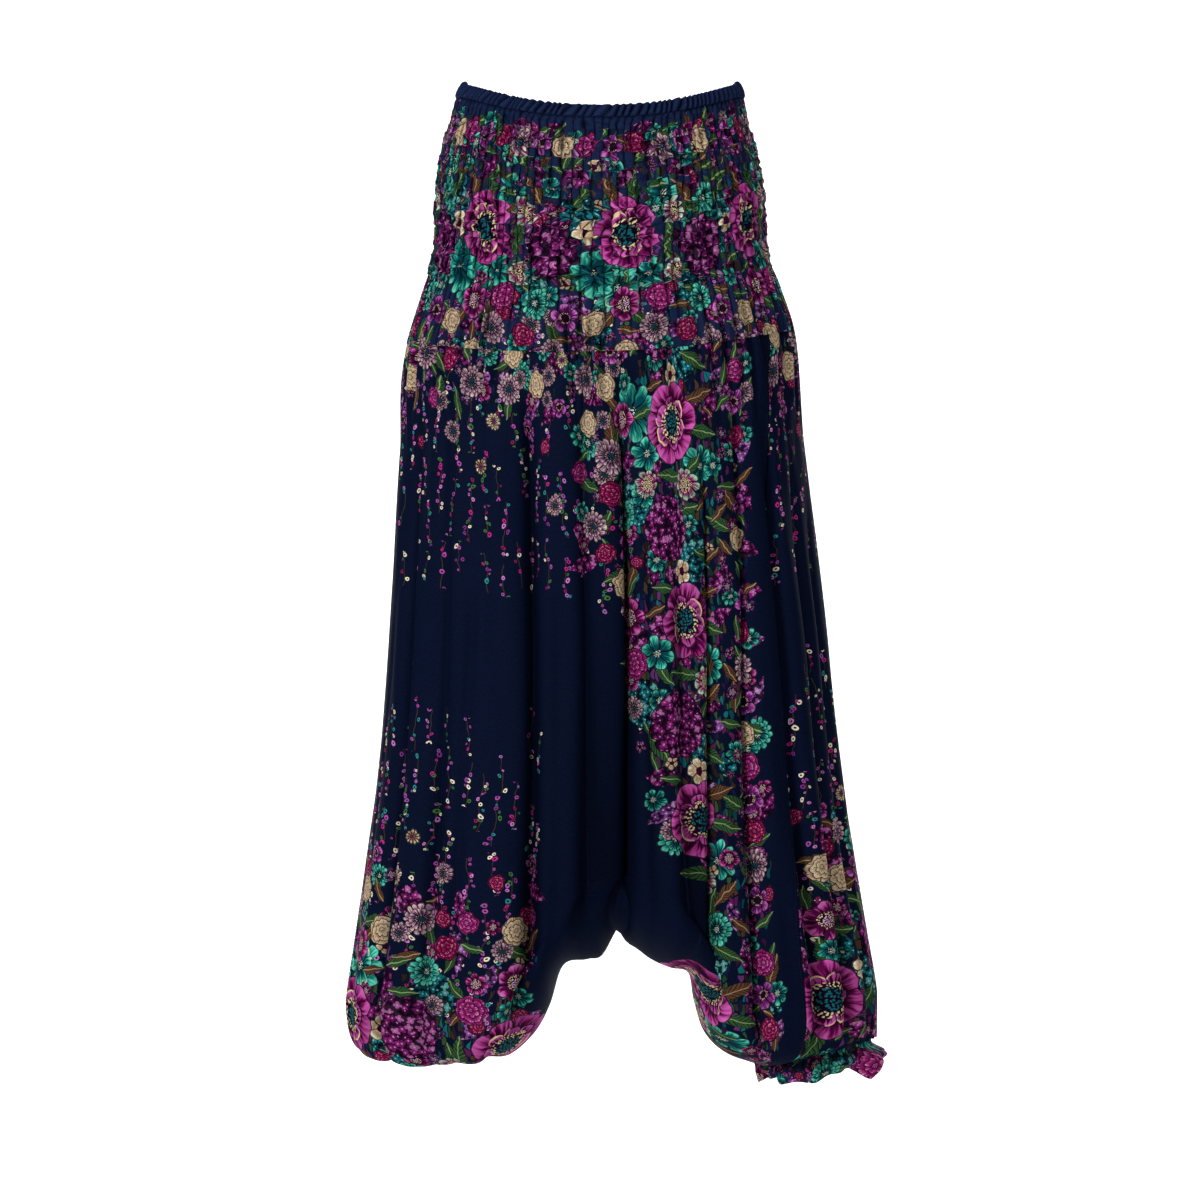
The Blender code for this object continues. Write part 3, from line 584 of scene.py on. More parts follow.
# Smaller motifs strewn among and under the blooms: their layer, how often each comes, its least and
# greatest radius, and the rest as for the blooms.
STREWN_COLUMNS = ("layer", "weight", "least", "most", "kind", "colours", "petals", "notch", "heart")
STREWN = (
    (2, 0.07, 12, 20, LEAF, "green", 9, 0.36, 0.0),
    (2, 0.06, 11, 19, LEAF, "brown", 8, 0.36, 0.0),
    (2, 0.08, 13, 22, PANICLE, "plum", 9, 0.42, 0.0),
    (2, 0.08, 12, 20, PANICLE, "violet", 9, 0.42, 0.0),
    (2, 0.10, 10, 17, CLUSTER, "plum", 9, 0.08, 0.0),
    (2, 0.07, 9, 15, CLUSTER, "sea", 9, 0.08, 0.0),
    (2, 0.08, 11, 17, PETALLED, "teal", 13, 0.24, 0.16),
    (1, 0.08, 7, 13, PETALLED, "teal", 7, 0.36, 0.20),
    (1, 0.09, 7, 12, PETALLED, "magenta", 6, 0.34, 0.28),
    (1, 0.04, 8, 12, PETALLED, "lilac", 13, 0.22, 0.24),
    (1, 0.10, 5, 8, PETALLED, "violet", 5, 0.40, 0.28),
    (1, 0.04, 5, 8, PETALLED, "ivory", 5, 0.34, 0.30),
    (1, 0.07, 7, 11, LAYERED, "crimson", 6, 0.10, 0.0),
    (1, 0.04, 9, 14, LEAF, "green", 8, 0.36, 0.0),
    (1, 0.03, 8, 13, LEAF, "brown", 7, 0.36, 0.0),
    (1, 0.06, 4, 6, PETALLED, "orchid", 5, 0.40, 0.30),
)
DENSE_FROM, DENSE_TO = 8, 170       # stretch across the border that is strewn all over
THINNING = 110                      # and over which it thins out after that
SPRAYS_FROM, SPRAYS_TO = 180, 440   # stretch where sprays hang
SPRAY_HALF_WIDTH = 6
STREWN_TRIES, SPRAY_TRIES = 15, 18  # tries for each millimetre of the border
MARGIN = 20                         # blooms may start this far past the ends of a border
STAMP_GAP = 2.6                     # least space between two motifs of a layer
YOKE_GAP = 1.2                      # and on the yoke, whose faces are small
LAYER_NAMES = ("bloom", "strewn", "under", "spray")
SPRAYS = 3                          # the sprays' layer
NOWHERE = 99.0                      # place of the motif on faces that have none, in metres
UNDER_BLOOM = 3                     # a lower motif's middle may lie this far under a bloom
MAP_EDGE, MAP_SIZE = 250, 2200      # margin and size of the map of the cloth, in millimetres
INSIDE_FADING = 0.45                # how much of the print is lost on the cloth's inner side
YOKE_BORDER = 270                   # the border ends this far below its own edge on the yoke
# How the motifs are drawn, in metres and per metre of cloth, or as shares of a motif's radius.
INK_LINE, INK_STRENGTH = 0.0009, 0.92
WOBBLE, WOBBLE_REACH = 90.0, 0.0045   # a slow wobble of the hand, and how far it strays
PETAL_TIP = 2.6              # power that narrows a petal's tip
MANY_PETALS, BIG_FLOWER = 11.5, 0.03  # flowers past either have a second row of petals,
INNER_ROW, INNER_NOTCH, INNER_EDGE = 0.68, 0.15, 0.93   # which reaches this far
STREAKS, STREAK_BREAKS = 8.0, 1.6     # streaks across a petal, and breaks along them
UNLIKE = 900.0               # tells motifs of different radius apart
PETAL_DARKEST, PETAL_SHADES = 0.62, 0.5
STAMENS, STAMEN_RING = 13.0, 1.45     # stamens across a flower, and their ring's size to the heart's
HEART_DARK, STAMEN, TURNED_EDGE, VINE = "#16071b", "#e8d9a6", "#e6d29c", "#4c3a20"
ROSE_RINGS, ROSE_ARCH = 3.3, 0.42     # rings of a rose's petals, and how far they are scalloped
FLORETS = 155.0              # florets to a metre of a hydrangea's head,
FLORET_WAIST, FLORET_LOBE = 0.0018, 0.0019
VEINS, VEIN_SLANT = 4.5, 5.5
FOLIAGE = (260.0, 105.0, 0.0)         # small leaves to a metre across and along
EDGE_FOLIAGE, DENSE_FOLIAGE = 0.16, 0.40      # share of it at the border's edge, and more inside
FOLIAGE_START, FOLIAGE_DENSE, FOLIAGE_END = (2, 10), (42, 56), (150, 226)   # across the border
FOLIAGE_COLOURS = ("#1c3322", "#2a1f17", "#34502f", "#33123a", "#0f4450", "#4c3726", "#5c1c50",
                   "#26402a", "#101d3e", "#5f3068", "#15666a", "#3a2a20")
VINE_WIDTH, VINE_SWAY, VINE_WAVES = 0.0007, 0.0012, 170.0
BEAD_ROWS = ((0.0, 0.0066), (3.7, 0.0053))    # start and pitch of the two rows of beads on a vine
BEAD_STRAY, BEAD_LEAST, BEAD_RANGE = 0.0042, 0.0013, 0.0017
BEAD_COLOURS = ("#b04ca8", "#b82a86", "#3f6f3c", "#eee4c6", "#9a50a2", "#8a2058", "#cf7ccb", "#46703f",
                "#a86ab6", "#2f8890", "#e6d6c8", "#7f3488")


def discs_of(motif):
    """Round spots that a motif takes up: x, y and radius in metres."""
    way = np.array([math.cos(motif["turn"]), math.sin(motif["turn"])])
    if motif["kind"] == SPRAY:
        reach, steps, size = motif["radius"] - SPRAY_HALF_WIDTH, 5, SPRAY_HALF_WIDTH
    elif motif["kind"] in (LEAF, PANICLE):
        reach, steps, size = 0.56 * motif["radius"], 3, 0.44 * motif["radius"]
    else:
        reach, steps, size = 0, 1, motif["radius"]
    spots = [motif["at"] + way * step * MM for step in np.linspace(-reach, reach, steps)]
    return np.array([[*spot, size * MM] for spot in spots])


def blank_print():
    """An empty print: its layers of motifs, and a map of each with the cloth that they take, a cell
    for each millimetre, and a last one of the cloth that lies under the blooms."""
    return [[] for name in LAYER_NAMES], np.zeros((len(LAYER_NAMES) + 1, MAP_SIZE, MAP_SIZE), bool)


def part_of_map(cloth_map, spot, reach):
    """The cells of a map round a spot, and which of them lie within reach of it."""
    x, y = spot[0] / MM + MAP_EDGE, spot[1] / MM + MAP_EDGE
    low_x, low_y = max(int(x - reach), 0), max(int(y - reach), 0)
    window = cloth_map[low_x:max(int(x + reach) + 2, 0), low_y:max(int(y + reach) + 2, 0)]
    i, j = np.ogrid[:window.shape[0], :window.shape[1]]
    return window, (i + low_x - x) ** 2 + (j + low_y - y) ** 2 < reach ** 2


def is_free(cloth_map, discs, gap):
    """Whether a motif's spots are free on a map, with a gap round them."""
    for disc in discs:
        window, near = part_of_map(cloth_map, disc, disc[2] / MM + gap)
        if (window & near).any():
            return False
    return True


def lay_border(print_of_cloth, seed, place_at, length, first, allowed, gap=STAMP_GAP):
    """Lay a length of the border into a print: blooms, strewn motifs and sprays.  place_at gives the
    flat place and the turn of the border at a length along and across it."""
    layers, maps = print_of_cloth
    random = np.random.default_rng(seed)

    def lay(layer, motif, along, across, turn):
        if across >= first and allowed(along, across):
            at, border_turn = place_at(along, across)
            placed = {**motif, "at": at, "turn": turn + border_turn * (motif["kind"] != SPRAY)}
            placed["discs"] = discs_of(placed)
            middle = np.array([[*at, 0.0]])
            if is_free(maps[-1], middle, 1) and is_free(maps[layer], placed["discs"], gap):
                layers[layer].append(placed)
                for disc in placed["discs"]:
                    window, near = part_of_map(maps[layer], disc, disc[2] / MM)
                    window[near] = True
                    if layer == 0:
                        window, near = part_of_map(maps[-1], disc, disc[2] / MM - UNDER_BLOOM)
                        window[near] = True

    for repeat in range(-1, int(length / REPEAT) + 2):
        for row in BLOOMS:
            bloom = dict(zip(BLOOM_COLUMNS, row))
            bloom["radius"] *= random.uniform(0.95, 1.04)
            along = bloom["along"] + repeat * REPEAT + random.uniform(-1.5, 1.5)
            if -MARGIN < along < length + MARGIN:
                lay(bloom["layer"], bloom, along, bloom["across"] + random.uniform(-1.5, 1.5),
                    bloom["turn"])
    weights = column(STREWN, STREWN_COLUMNS, "weight").astype(float)
    tries = []
    for _ in range(int(length * STREWN_TRIES)):
        strewn = dict(zip(STREWN_COLUMNS, STREWN[random.choice(len(STREWN), p=weights / weights.sum())]))
        strewn["radius"] = random.uniform(strewn["least"], strewn["most"])
        across = random.uniform(DENSE_FROM, DENSE_TO + THINNING * random.uniform(0, 1))
        tries.append((strewn, random.uniform(-10, length + 10), across, random.uniform(0, 2 * math.pi)))
    for strewn, along, across, turn in sorted(tries, key=lambda one: -one[0]["radius"]):
        lay(strewn["layer"], strewn, along, across, turn)
    for _ in range(int(length * SPRAY_TRIES)):
        depth = random.uniform(0, 1) ** 1.6
        spray = {"kind": SPRAY, "colours": "violet", "petals": 1, "notch": 0.2, "heart": depth,
                 "radius": random.uniform(16, 34)}
        across = SPRAYS_FROM + (SPRAYS_TO - SPRAYS_FROM) * depth
        lay(SPRAYS, spray, random.uniform(-5, length + 5), across,
            math.pi / 2 + random.uniform(-0.14, 0.14))


def mark_print(piece, layers, dense):
    """Write on each face of a piece the motif of every layer that covers it: its place and turn,
    its radius, kind and colours, its petals, notch and heart.  dense is how lush the print is."""
    data = piece.data
    count = len(data.polygons)
    corner_flat = np.empty((len(data.loops), 2), np.float32)
    data.uv_layers["flat_cut"].uv.foreach_get("vector", corner_flat.ravel())
    starts = np.empty(count, np.int32)
    data.polygons.foreach_get("loop_start", starts)
    sizes = np.empty(count, np.int32)
    data.polygons.foreach_get("loop_total", sizes)
    centres = np.add.reduceat(corner_flat, starts, axis=0) / sizes[:, None]
    names = list(column(COLOURS, COLOUR_COLUMNS, "name"))
    for layer_name, layer in zip(LAYER_NAMES, layers):
        marks = np.zeros((3, count, 3), np.float32)
        marks[0, :, :2] = NOWHERE
        marks[1] = (1.0, 0, 0)
        marks[2] = (1.0, 0, 0)
        nearest = np.full(count, np.inf)
        for motif in layer:
            reach = (motif["radius"] + STAMP_GAP) * MM
            close = np.flatnonzero((np.abs(centres - motif["at"]) < reach).all(axis=1))
            away = np.hypot(*(centres[close, None] - motif["discs"][None, :, :2]).transpose(2, 0, 1))
            measure = (away - motif["discs"][None, :, 2]).min(axis=1)
            nearer = (measure < STAMP_GAP * MM) & (measure < nearest[close])
            taken = close[nearer]
            nearest[taken] = measure[nearer]
            marks[0, taken] = (*motif["at"], motif["turn"])
            marks[1, taken] = (motif["radius"] * MM, motif["kind"], names.index(motif["colours"]))
            marks[2, taken] = (motif["petals"], motif["notch"], motif["heart"])
        for part, values in zip(("place", "look", "form"), marks):
            attribute = data.attributes.new(f"{layer_name}_{part}", "FLOAT_VECTOR", "FACE")
            attribute.data.foreach_set("vector", values.ravel())
    attribute = data.attributes.new("lush", "FLOAT", "FACE")
    attribute.data.foreach_set("value", dense(centres).astype(np.float32))


def read_motif(tree, flat, layer_name):
    """The marks of a layer on the cloth, with the place within its motif in radii."""
    place, look, form = [node(tree, "Attribute", attribute_name=f"{layer_name}_{part}", out=1)
                         for part in ("place", "look", "form")]
    away = node(tree, "VectorMath", flat, place, operation="SUBTRACT")
    turn = node(tree, "SeparateXYZ", place, out=2)
    radius = node(tree, "SeparateXYZ", look, out=0)
    turned = node(tree, "VectorRotate", away, None, node(tree, "MULTIPLY", turn, -1.0),
                  rotation_type="Z_AXIS")
    scaled = node(tree, "VectorMath", turned, node(tree, "DIVIDE", 1.0, radius), operation="SCALE")
    return node(tree, "VectorMath", scaled, (1, 1, 0), operation="MULTIPLY"), look, form


def motif_reach(tree, within, look, form):
    """How far out of its motif a place is, 1 at the outline, and its polar places: distance from
    the middle, angle times petals, and nearness to the gap between two petals."""
    kind = node(tree, "SeparateXYZ", look, out=1)
    petals, notch = [node(tree, "SeparateXYZ", form, out=i) for i in (0, 1)]
    x, y = [node(tree, "SeparateXYZ", within, out=i) for i in (0, 1)]
    distance = node(tree, "VectorMath", within, operation="LENGTH")
    angle = node(tree, "ARCTAN2", y, x)
    petal = node(tree, "DIVIDE", node(tree, "MULTIPLY", angle, petals), 2 * math.pi)
    share = node(tree, "FRACT", petal)
    gap = node(tree, "ABSOLUTE", node(tree, "MULTIPLY_ADD", share, 2.0, -1.0))
    dent = node(tree, "MULTIPLY", node(tree, "POWER", gap, PETAL_TIP), notch)
    round_reach = node(tree, "DIVIDE", distance, node(tree, "SUBTRACT", 1.0, dent))
    lobe = node(tree, "MAXIMUM", node(tree, "SUBTRACT", 1.0, node(tree, "MULTIPLY", x, x)), 0.001)
    leaf_reach = node(tree, "DIVIDE", node(tree, "ABSOLUTE", y), node(tree, "MULTIPLY", lobe, notch))
    is_leaf = node(tree, "GREATER_THAN", kind, CLUSTER + 0.5)
    reach = node(tree, "Mix", is_leaf, round_reach, leaf_reach, data_type="FLOAT")
    return reach, distance, petal, gap, x, y


def one_of(tree, value, colours):
    """One of a few colours of equal share, picked by a number from 0 to 1."""
    colour = node(tree, "ValToRGB", value)
    ramp = colour.node.color_ramp
    ramp.interpolation = "CONSTANT"
    for i, one in enumerate(colours):
        if i > 1:
            ramp.elements.new(i / len(colours))
        ramp.elements[i].position = i / len(colours)
        ramp.elements[i].color = linear(one)
    return colour


def palette(tree, look, which):
    """The colour of a motif from the palette: tip, base, heart or rim."""
    index = node(tree, "SeparateXYZ", look, out=2)
    place = node(tree, "MULTIPLY_ADD", index, 1 / len(COLOURS), 0.5 / len(COLOURS))
    return one_of(tree, place, column(COLOURS, COLOUR_COLUMNS, which))


def print_colour(tree, ground):
    """Add the nodes of the print over a ground colour and give its colour."""
    cloth = node(tree, "UVMap", uv_map="flat_cut")
    drift = node(tree, "TexNoise", cloth, WOBBLE, 1.0, noise_dimensions="2D", out=1)
    bend = node(tree, "VectorMath", drift, (0.5, 0.5, 0.5), operation="SUBTRACT")
    flat = node(tree, "VectorMath", node(tree, "VectorMath", bend, WOBBLE_REACH, operation="SCALE"),
                cloth, operation="ADD")
    flat = node(tree, "VectorMath", flat, (1, 1, 0), operation="MULTIPLY")

    # Which layer shows: a bloom, else what is strewn beside it, else what lies under both.
    bloom, strewn, under = [read_motif(tree, flat, name) for name in LAYER_NAMES[:SPRAYS]]
    on_bloom, on_strewn, on_under = [node(tree, "LESS_THAN", motif_reach(tree, *motif)[0], 1.0)
                                     for motif in (bloom, strewn, under)]
    on_motif = node(tree, "MAXIMUM", node(tree, "MAXIMUM", on_bloom, on_strewn), on_under)
    shown = under
    for covers, upper in ((on_strewn, strewn), (on_bloom, bloom)):
        shown = [node(tree, "Mix", covers, low, high, data_type="VECTOR")
                 for low, high in zip(shown, upper)]
    within, look, form = shown
    reach, distance, petal, gap, x, y = motif_reach(tree, within, look, form)
    radius, kind = [node(tree, "SeparateXYZ", look, out=i) for i in (0, 1)]
    petals, notch, heart = [node(tree, "SeparateXYZ", form, out=i) for i in (0, 1, 2)]
    line = node(tree, "DIVIDE", INK_LINE, radius)
    tip, base, middle, rim = [palette(tree, look, which) for which in ("tip", "base", "heart", "rim")]

    # Big and many-petalled flowers have a second row of petals, set between those of the first.
    many = node(tree, "GREATER_THAN", petals, MANY_PETALS)
    double = node(tree, "MAXIMUM", many, node(tree, "GREATER_THAN", radius, BIG_FLOWER))
    between = node(tree, "FRACT", node(tree, "ADD", petal, 0.5))
    inner_gap = node(tree, "ABSOLUTE", node(tree, "MULTIPLY_ADD", between, 2.0, -1.0))
    inner_outline = node(tree, "MULTIPLY_ADD", node(tree, "POWER", inner_gap, PETAL_TIP), -INNER_NOTCH,
                         INNER_ROW)
    inner_reach = node(tree, "DIVIDE", distance, inner_outline)
    on_inner = node(tree, "MULTIPLY", node(tree, "LESS_THAN", inner_reach, 1.0), double)
    inner_edge = node(tree, "MULTIPLY", node(tree, "GREATER_THAN", inner_reach, INNER_EDGE), on_inner)
    petal = node(tree, "MULTIPLY_ADD", on_inner, 0.5, petal)
    gap = node(tree, "Mix", on_inner, gap, inner_gap, data_type="FLOAT")
    spread = node(tree, "Mix", on_inner, distance, inner_reach, data_type="FLOAT")

    # Petalled flowers: streaks from the heart, dark gaps, stamens round a coloured heart.
    fan = node(tree, "CombineXYZ", node(tree, "MULTIPLY", petal, STREAKS),
               node(tree, "MULTIPLY", distance, STREAK_BREAKS), node(tree, "MULTIPLY", radius, UNLIKE))
    streak = node(tree, "MapRange", node(tree, "TexNoise", fan, 1.0, 2.0), 0.3, 0.7)
    out_from_heart = node(tree, "DIVIDE", node(tree, "SUBTRACT", spread, heart),
                          node(tree, "SUBTRACT", 1.0, heart))
    lower = node(tree, "MULTIPLY_ADD", on_inner, -0.1, -0.8)
    rise = node(tree, "MULTIPLY_ADD", out_from_heart, 1.25, lower)
    rise = node(tree, "MULTIPLY_ADD", streak, 0.9, rise)
    petal_colour = node(tree, "Mix", node(tree, "MapRange", rise, 0.18, 0.78), base, tip)
    outer = node(tree, "MULTIPLY_ADD", streak, 0.5, node(tree, "SUBTRACT", spread, 0.25))
    petal_colour = node(tree, "Mix", node(tree, "MapRange", outer, 0.72, 1.12), petal_colour, rim)
    own = node(tree, "ADD", node(tree, "FLOOR", petal), radius)
    own_shade = node(tree, "TexWhiteNoise", own, noise_dimensions="1D")
    shade = node(tree, "MULTIPLY_ADD", own_shade, PETAL_SHADES, PETAL_DARKEST)
    petal_colour = node(tree, "Mix", 1.0, petal_colour, node(tree, "CombineColor", shade, shade, shade),
                        blend_type="MULTIPLY")
    arc = node(tree, "DIVIDE", node(tree, "MULTIPLY", node(tree, "SUBTRACT", 1.0, gap), distance), petals)
    gap_width = node(tree, "MULTIPLY", arc, math.pi)
    in_gap = node(tree, "LESS_THAN", gap_width, node(tree, "MULTIPLY", line, 0.7))
    dot = node(tree, "LESS_THAN", node(tree, "TexVoronoi", within, STAMENS, voronoi_dimensions="2D"), 0.33)
    stamen_ring = node(tree, "LESS_THAN", distance, node(tree, "MULTIPLY", heart, STAMEN_RING))
    in_heart = node(tree, "LESS_THAN", distance, heart)
    heart_colour = node(tree, "Mix", dot, linear(HEART_DARK), middle)
    stamens = node(tree, "Mix", node(tree, "MULTIPLY", dot, 0.9), petal_colour, linear(STAMEN))
    petalled = node(tree, "Mix", stamen_ring, petal_colour, stamens)
    petalled = node(tree, "Mix", in_heart, petalled, heart_colour)
    turned_edge = node(tree, "MULTIPLY", inner_edge, node(tree, "GREATER_THAN", radius, BIG_FLOWER))
    some = node(tree, "SINE", node(tree, "MULTIPLY", petal, 2.1))
    turned_edge = node(tree, "MULTIPLY", turned_edge, some)
    petalled = node(tree, "Mix", turned_edge, petalled, linear(TURNED_EDGE))
    petal_ink = node(tree, "MULTIPLY", in_gap, node(tree, "SUBTRACT", 1.0, in_heart))
    inner_ink = node(tree, "SUBTRACT", inner_edge, node(tree, "GREATER_THAN", turned_edge, 0.3))
    petal_ink = node(tree, "MAXIMUM", petal_ink, inner_ink)

    # Roses: rings of scalloped petals, each lighter towards its rim.
    ring_number = node(tree, "FLOOR", node(tree, "MULTIPLY", distance, ROSE_RINGS))
    sway = node(tree, "MULTIPLY_ADD", petal, math.pi, node(tree, "MULTIPLY", ring_number, 1.9))
    arch = node(tree, "ABSOLUTE", node(tree, "SINE", sway))
    fold = node(tree, "FRACT", node(tree, "MULTIPLY_ADD", arch, -ROSE_ARCH,
                                    node(tree, "MULTIPLY", distance, ROSE_RINGS)))
    lit = node(tree, "MULTIPLY_ADD", streak, 0.5, node(tree, "SUBTRACT", fold, 0.3))
    rose = node(tree, "Mix", lit, base, tip)
    on_rim = node(tree, "GREATER_THAN", fold, 0.72)
    glint = node(tree, "MULTIPLY", on_rim, node(tree, "GREATER_THAN", streak, 0.62))
    rose = node(tree, "Mix", node(tree, "MULTIPLY", glint, 0.6), rose, middle)
    ring_line = node(tree, "LESS_THAN", fold, 0.16)
    rose_ink = node(tree, "MAXIMUM", ring_line, node(tree, "LESS_THAN", arch, 0.12))

    # Hydrangeas: heads of small four-petalled florets.
    head, cell = [node(tree, "TexVoronoi", flat, FLORETS, voronoi_dimensions="2D", out=i) for i in (2, 1)]
    from_floret = node(tree, "VectorMath", flat, head, operation="SUBTRACT")
    floret_x, floret_y = [node(tree, "SeparateXYZ", from_floret, out=i) for i in (0, 1)]
    chance, second_chance = [node(tree, "SeparateColor", cell, out=i) for i in (0, 1)]
    lobes = node(tree, "MULTIPLY_ADD", node(tree, "ARCTAN2", floret_y, floret_x), 2.0,
                 node(tree, "MULTIPLY", chance, 6.0))
    away = node(tree, "VectorMath", from_floret, operation="LENGTH")
    lobe = node(tree, "ABSOLUTE", node(tree, "COSINE", lobes))
    floret = node(tree, "DIVIDE", away, node(tree, "MULTIPLY_ADD", lobe, FLORET_LOBE, FLORET_WAIST))
    cluster = node(tree, "Mix", chance, base, tip)
    pale = node(tree, "MULTIPLY", node(tree, "GREATER_THAN", second_chance, 0.8), 0.45)
    cluster = node(tree, "Mix", pale, cluster, middle)
    cluster = node(tree, "Mix", node(tree, "LESS_THAN", floret, 0.24), cluster, middle)
    cluster_ink = node(tree, "GREATER_THAN", floret, 1.0)

    # Leaves: a light rib and dark veins that slant out from it.
    beside = node(tree, "ABSOLUTE", y)
    vein = node(tree, "MULTIPLY_ADD", beside, -VEIN_SLANT, node(tree, "MULTIPLY", x, VEINS))
    vein = node(tree, "FRACT", vein)
    lit = node(tree, "MULTIPLY_ADD", vein, 0.7, node(tree, "MULTIPLY", streak, 0.4))
    leaf = node(tree, "Mix", lit, base, tip)
    rib = node(tree, "LESS_THAN", beside, node(tree, "MULTIPLY", line, 0.5))
    leaf = node(tree, "Mix", rib, leaf, middle)
    leaf_ink = node(tree, "MULTIPLY", node(tree, "LESS_THAN", vein, 0.2), node(tree, "SUBTRACT", 1.0, rib))

    colour, ink = petalled, petal_ink
    for number, spread, other, other_ink in (
        (LAYERED, 0.4, rose, rose_ink), ((CLUSTER + PANICLE) / 2, 0.9, cluster, cluster_ink),
        (LEAF, 0.4, leaf, leaf_ink),
    ):
        chosen = node(tree, "COMPARE", kind, float(number), spread)
        colour = node(tree, "Mix", chosen, colour, other)
        ink = node(tree, "Mix", chosen, ink, other_ink, data_type="FLOAT")
    edge = node(tree, "GREATER_THAN", reach, node(tree, "MULTIPLY_ADD", line, -1.3, 1.0))
    ink = node(tree, "MAXIMUM", ink, edge)
    motif_colour = node(tree, "Mix", node(tree, "MULTIPLY", ink, INK_STRENGTH), colour, linear(INK))

    # Foliage between the motifs: small dark leaves and buds, the lusher the denser.
    tilt = node(tree, "VectorMath", flat, FOLIAGE, operation="MULTIPLY")
    leafy = node(tree, "TexVoronoi", tilt, 1.0, voronoi_dimensions="2D", out=1)
    border = node(tree, "TexVoronoi", tilt, 1.0, voronoi_dimensions="2D", feature="DISTANCE_TO_EDGE")
    pick, there = [node(tree, "SeparateColor", leafy, out=i) for i in (0, 1)]
    foliage = one_of(tree, pick, FOLIAGE_COLOURS)
    lush = node(tree, "LESS_THAN", there, node(tree, "Attribute", attribute_name="lush", out=2))
    on_foliage = node(tree, "MULTIPLY", lush, node(tree, "GREATER_THAN", border, 0.1))
    below = node(tree, "Mix", on_foliage, ground, foliage)

    # Sprays: strings of tiny florets and buds along a thin vine.
    string, spray_look, spray_form = read_motif(tree, flat, "spray")
    spray_radius = node(tree, "SeparateXYZ", spray_look, out=0)
    sparse = node(tree, "SeparateXYZ", spray_form, out=2)
    reach_x, reach_y = [node(tree, "MULTIPLY", node(tree, "SeparateXYZ", string, out=i), spray_radius)
                        for i in (0, 1)]
    in_stamp = node(tree, "LESS_THAN", node(tree, "ABSOLUTE", reach_x),
                    node(tree, "MULTIPLY", spray_radius, 0.96))
    wave = node(tree, "SINE", node(tree, "MULTIPLY_ADD", reach_x, VINE_WAVES,
                                   node(tree, "MULTIPLY", spray_radius, UNLIKE)))
    off_vine = node(tree, "MULTIPLY_ADD", wave, -VINE_SWAY, reach_y)
    vine = node(tree, "LESS_THAN", node(tree, "ABSOLUTE", off_vine), VINE_WIDTH / 2)
    vine = node(tree, "MULTIPLY", vine, in_stamp)
    below = node(tree, "Mix", node(tree, "MULTIPLY", vine, 0.8), below, linear(VINE))
    for start, pitch in BEAD_ROWS:
        cells = node(tree, "DIVIDE", node(tree, "ADD", reach_x, start), pitch)
        local = node(tree, "SUBTRACT", node(tree, "FRACT", cells), 0.5)
        local = node(tree, "MULTIPLY", local, pitch)
        numbers = node(tree, "CombineXYZ", node(tree, "FLOOR", cells),
                       node(tree, "MULTIPLY", spray_radius, 7777.0), 0.0)
        random = node(tree, "TexWhiteNoise", numbers, noise_dimensions="2D", out=1)
        first, second, third = [node(tree, "SeparateColor", random, out=i) for i in (0, 1, 2)]
        offset = node(tree, "MULTIPLY_ADD", first, 2 * BEAD_STRAY, -BEAD_STRAY)
        size = node(tree, "MULTIPLY_ADD", third, BEAD_RANGE, BEAD_LEAST)
        from_bead = node(tree, "CombineXYZ", local, node(tree, "SUBTRACT", off_vine, offset), 0.0)
        away = node(tree, "DIVIDE", node(tree, "VectorMath", from_bead, operation="LENGTH"), size)
        there = node(tree, "LESS_THAN", node(tree, "MULTIPLY_ADD", sparse, 0.5, second), 0.95)
        bead = node(tree, "MULTIPLY", node(tree, "LESS_THAN", away, 1.0),
                    node(tree, "MULTIPLY", there, in_stamp))
        tint = one_of(tree, node(tree, "FRACT", node(tree, "MULTIPLY", third, 7.3)), BEAD_COLOURS)
        below = node(tree, "Mix", bead, below, linear(INK))
        petal_ring = node(tree, "MULTIPLY", node(tree, "LESS_THAN", away, 0.82),
                          node(tree, "GREATER_THAN", away, 0.34))
        below = node(tree, "Mix", node(tree, "MULTIPLY", bead, petal_ring), below, tint)
    return node(tree, "Mix", on_motif, below, motif_colour)


def printed_rayon(name, light, dark):
    """Navy rayon with the flowered print, which shows paler and duller on its inner side."""
    material, ground = rayon(name, light, dark)
    tree = material.node_tree
    inside = node(tree, "Attribute", attribute_name="inside", out=2)
    faded = node(tree, "MULTIPLY", inside, INSIDE_FADING)
    colour = node(tree, "Mix", faded, print_colour(tree, ground), ground)
    tree.links.new(shaded(tree, colour), tree.nodes["Principled BSDF"].inputs["Base Color"])
    return material


def lushness(across):
    """How dense the foliage is between the blooms at a distance across the border."""
    grown = EDGE_FOLIAGE * ease(*FOLIAGE_START, across) + DENSE_FOLIAGE * ease(*FOLIAGE_DENSE, across)
    return grown * (1 - ease(*FOLIAGE_END, across))


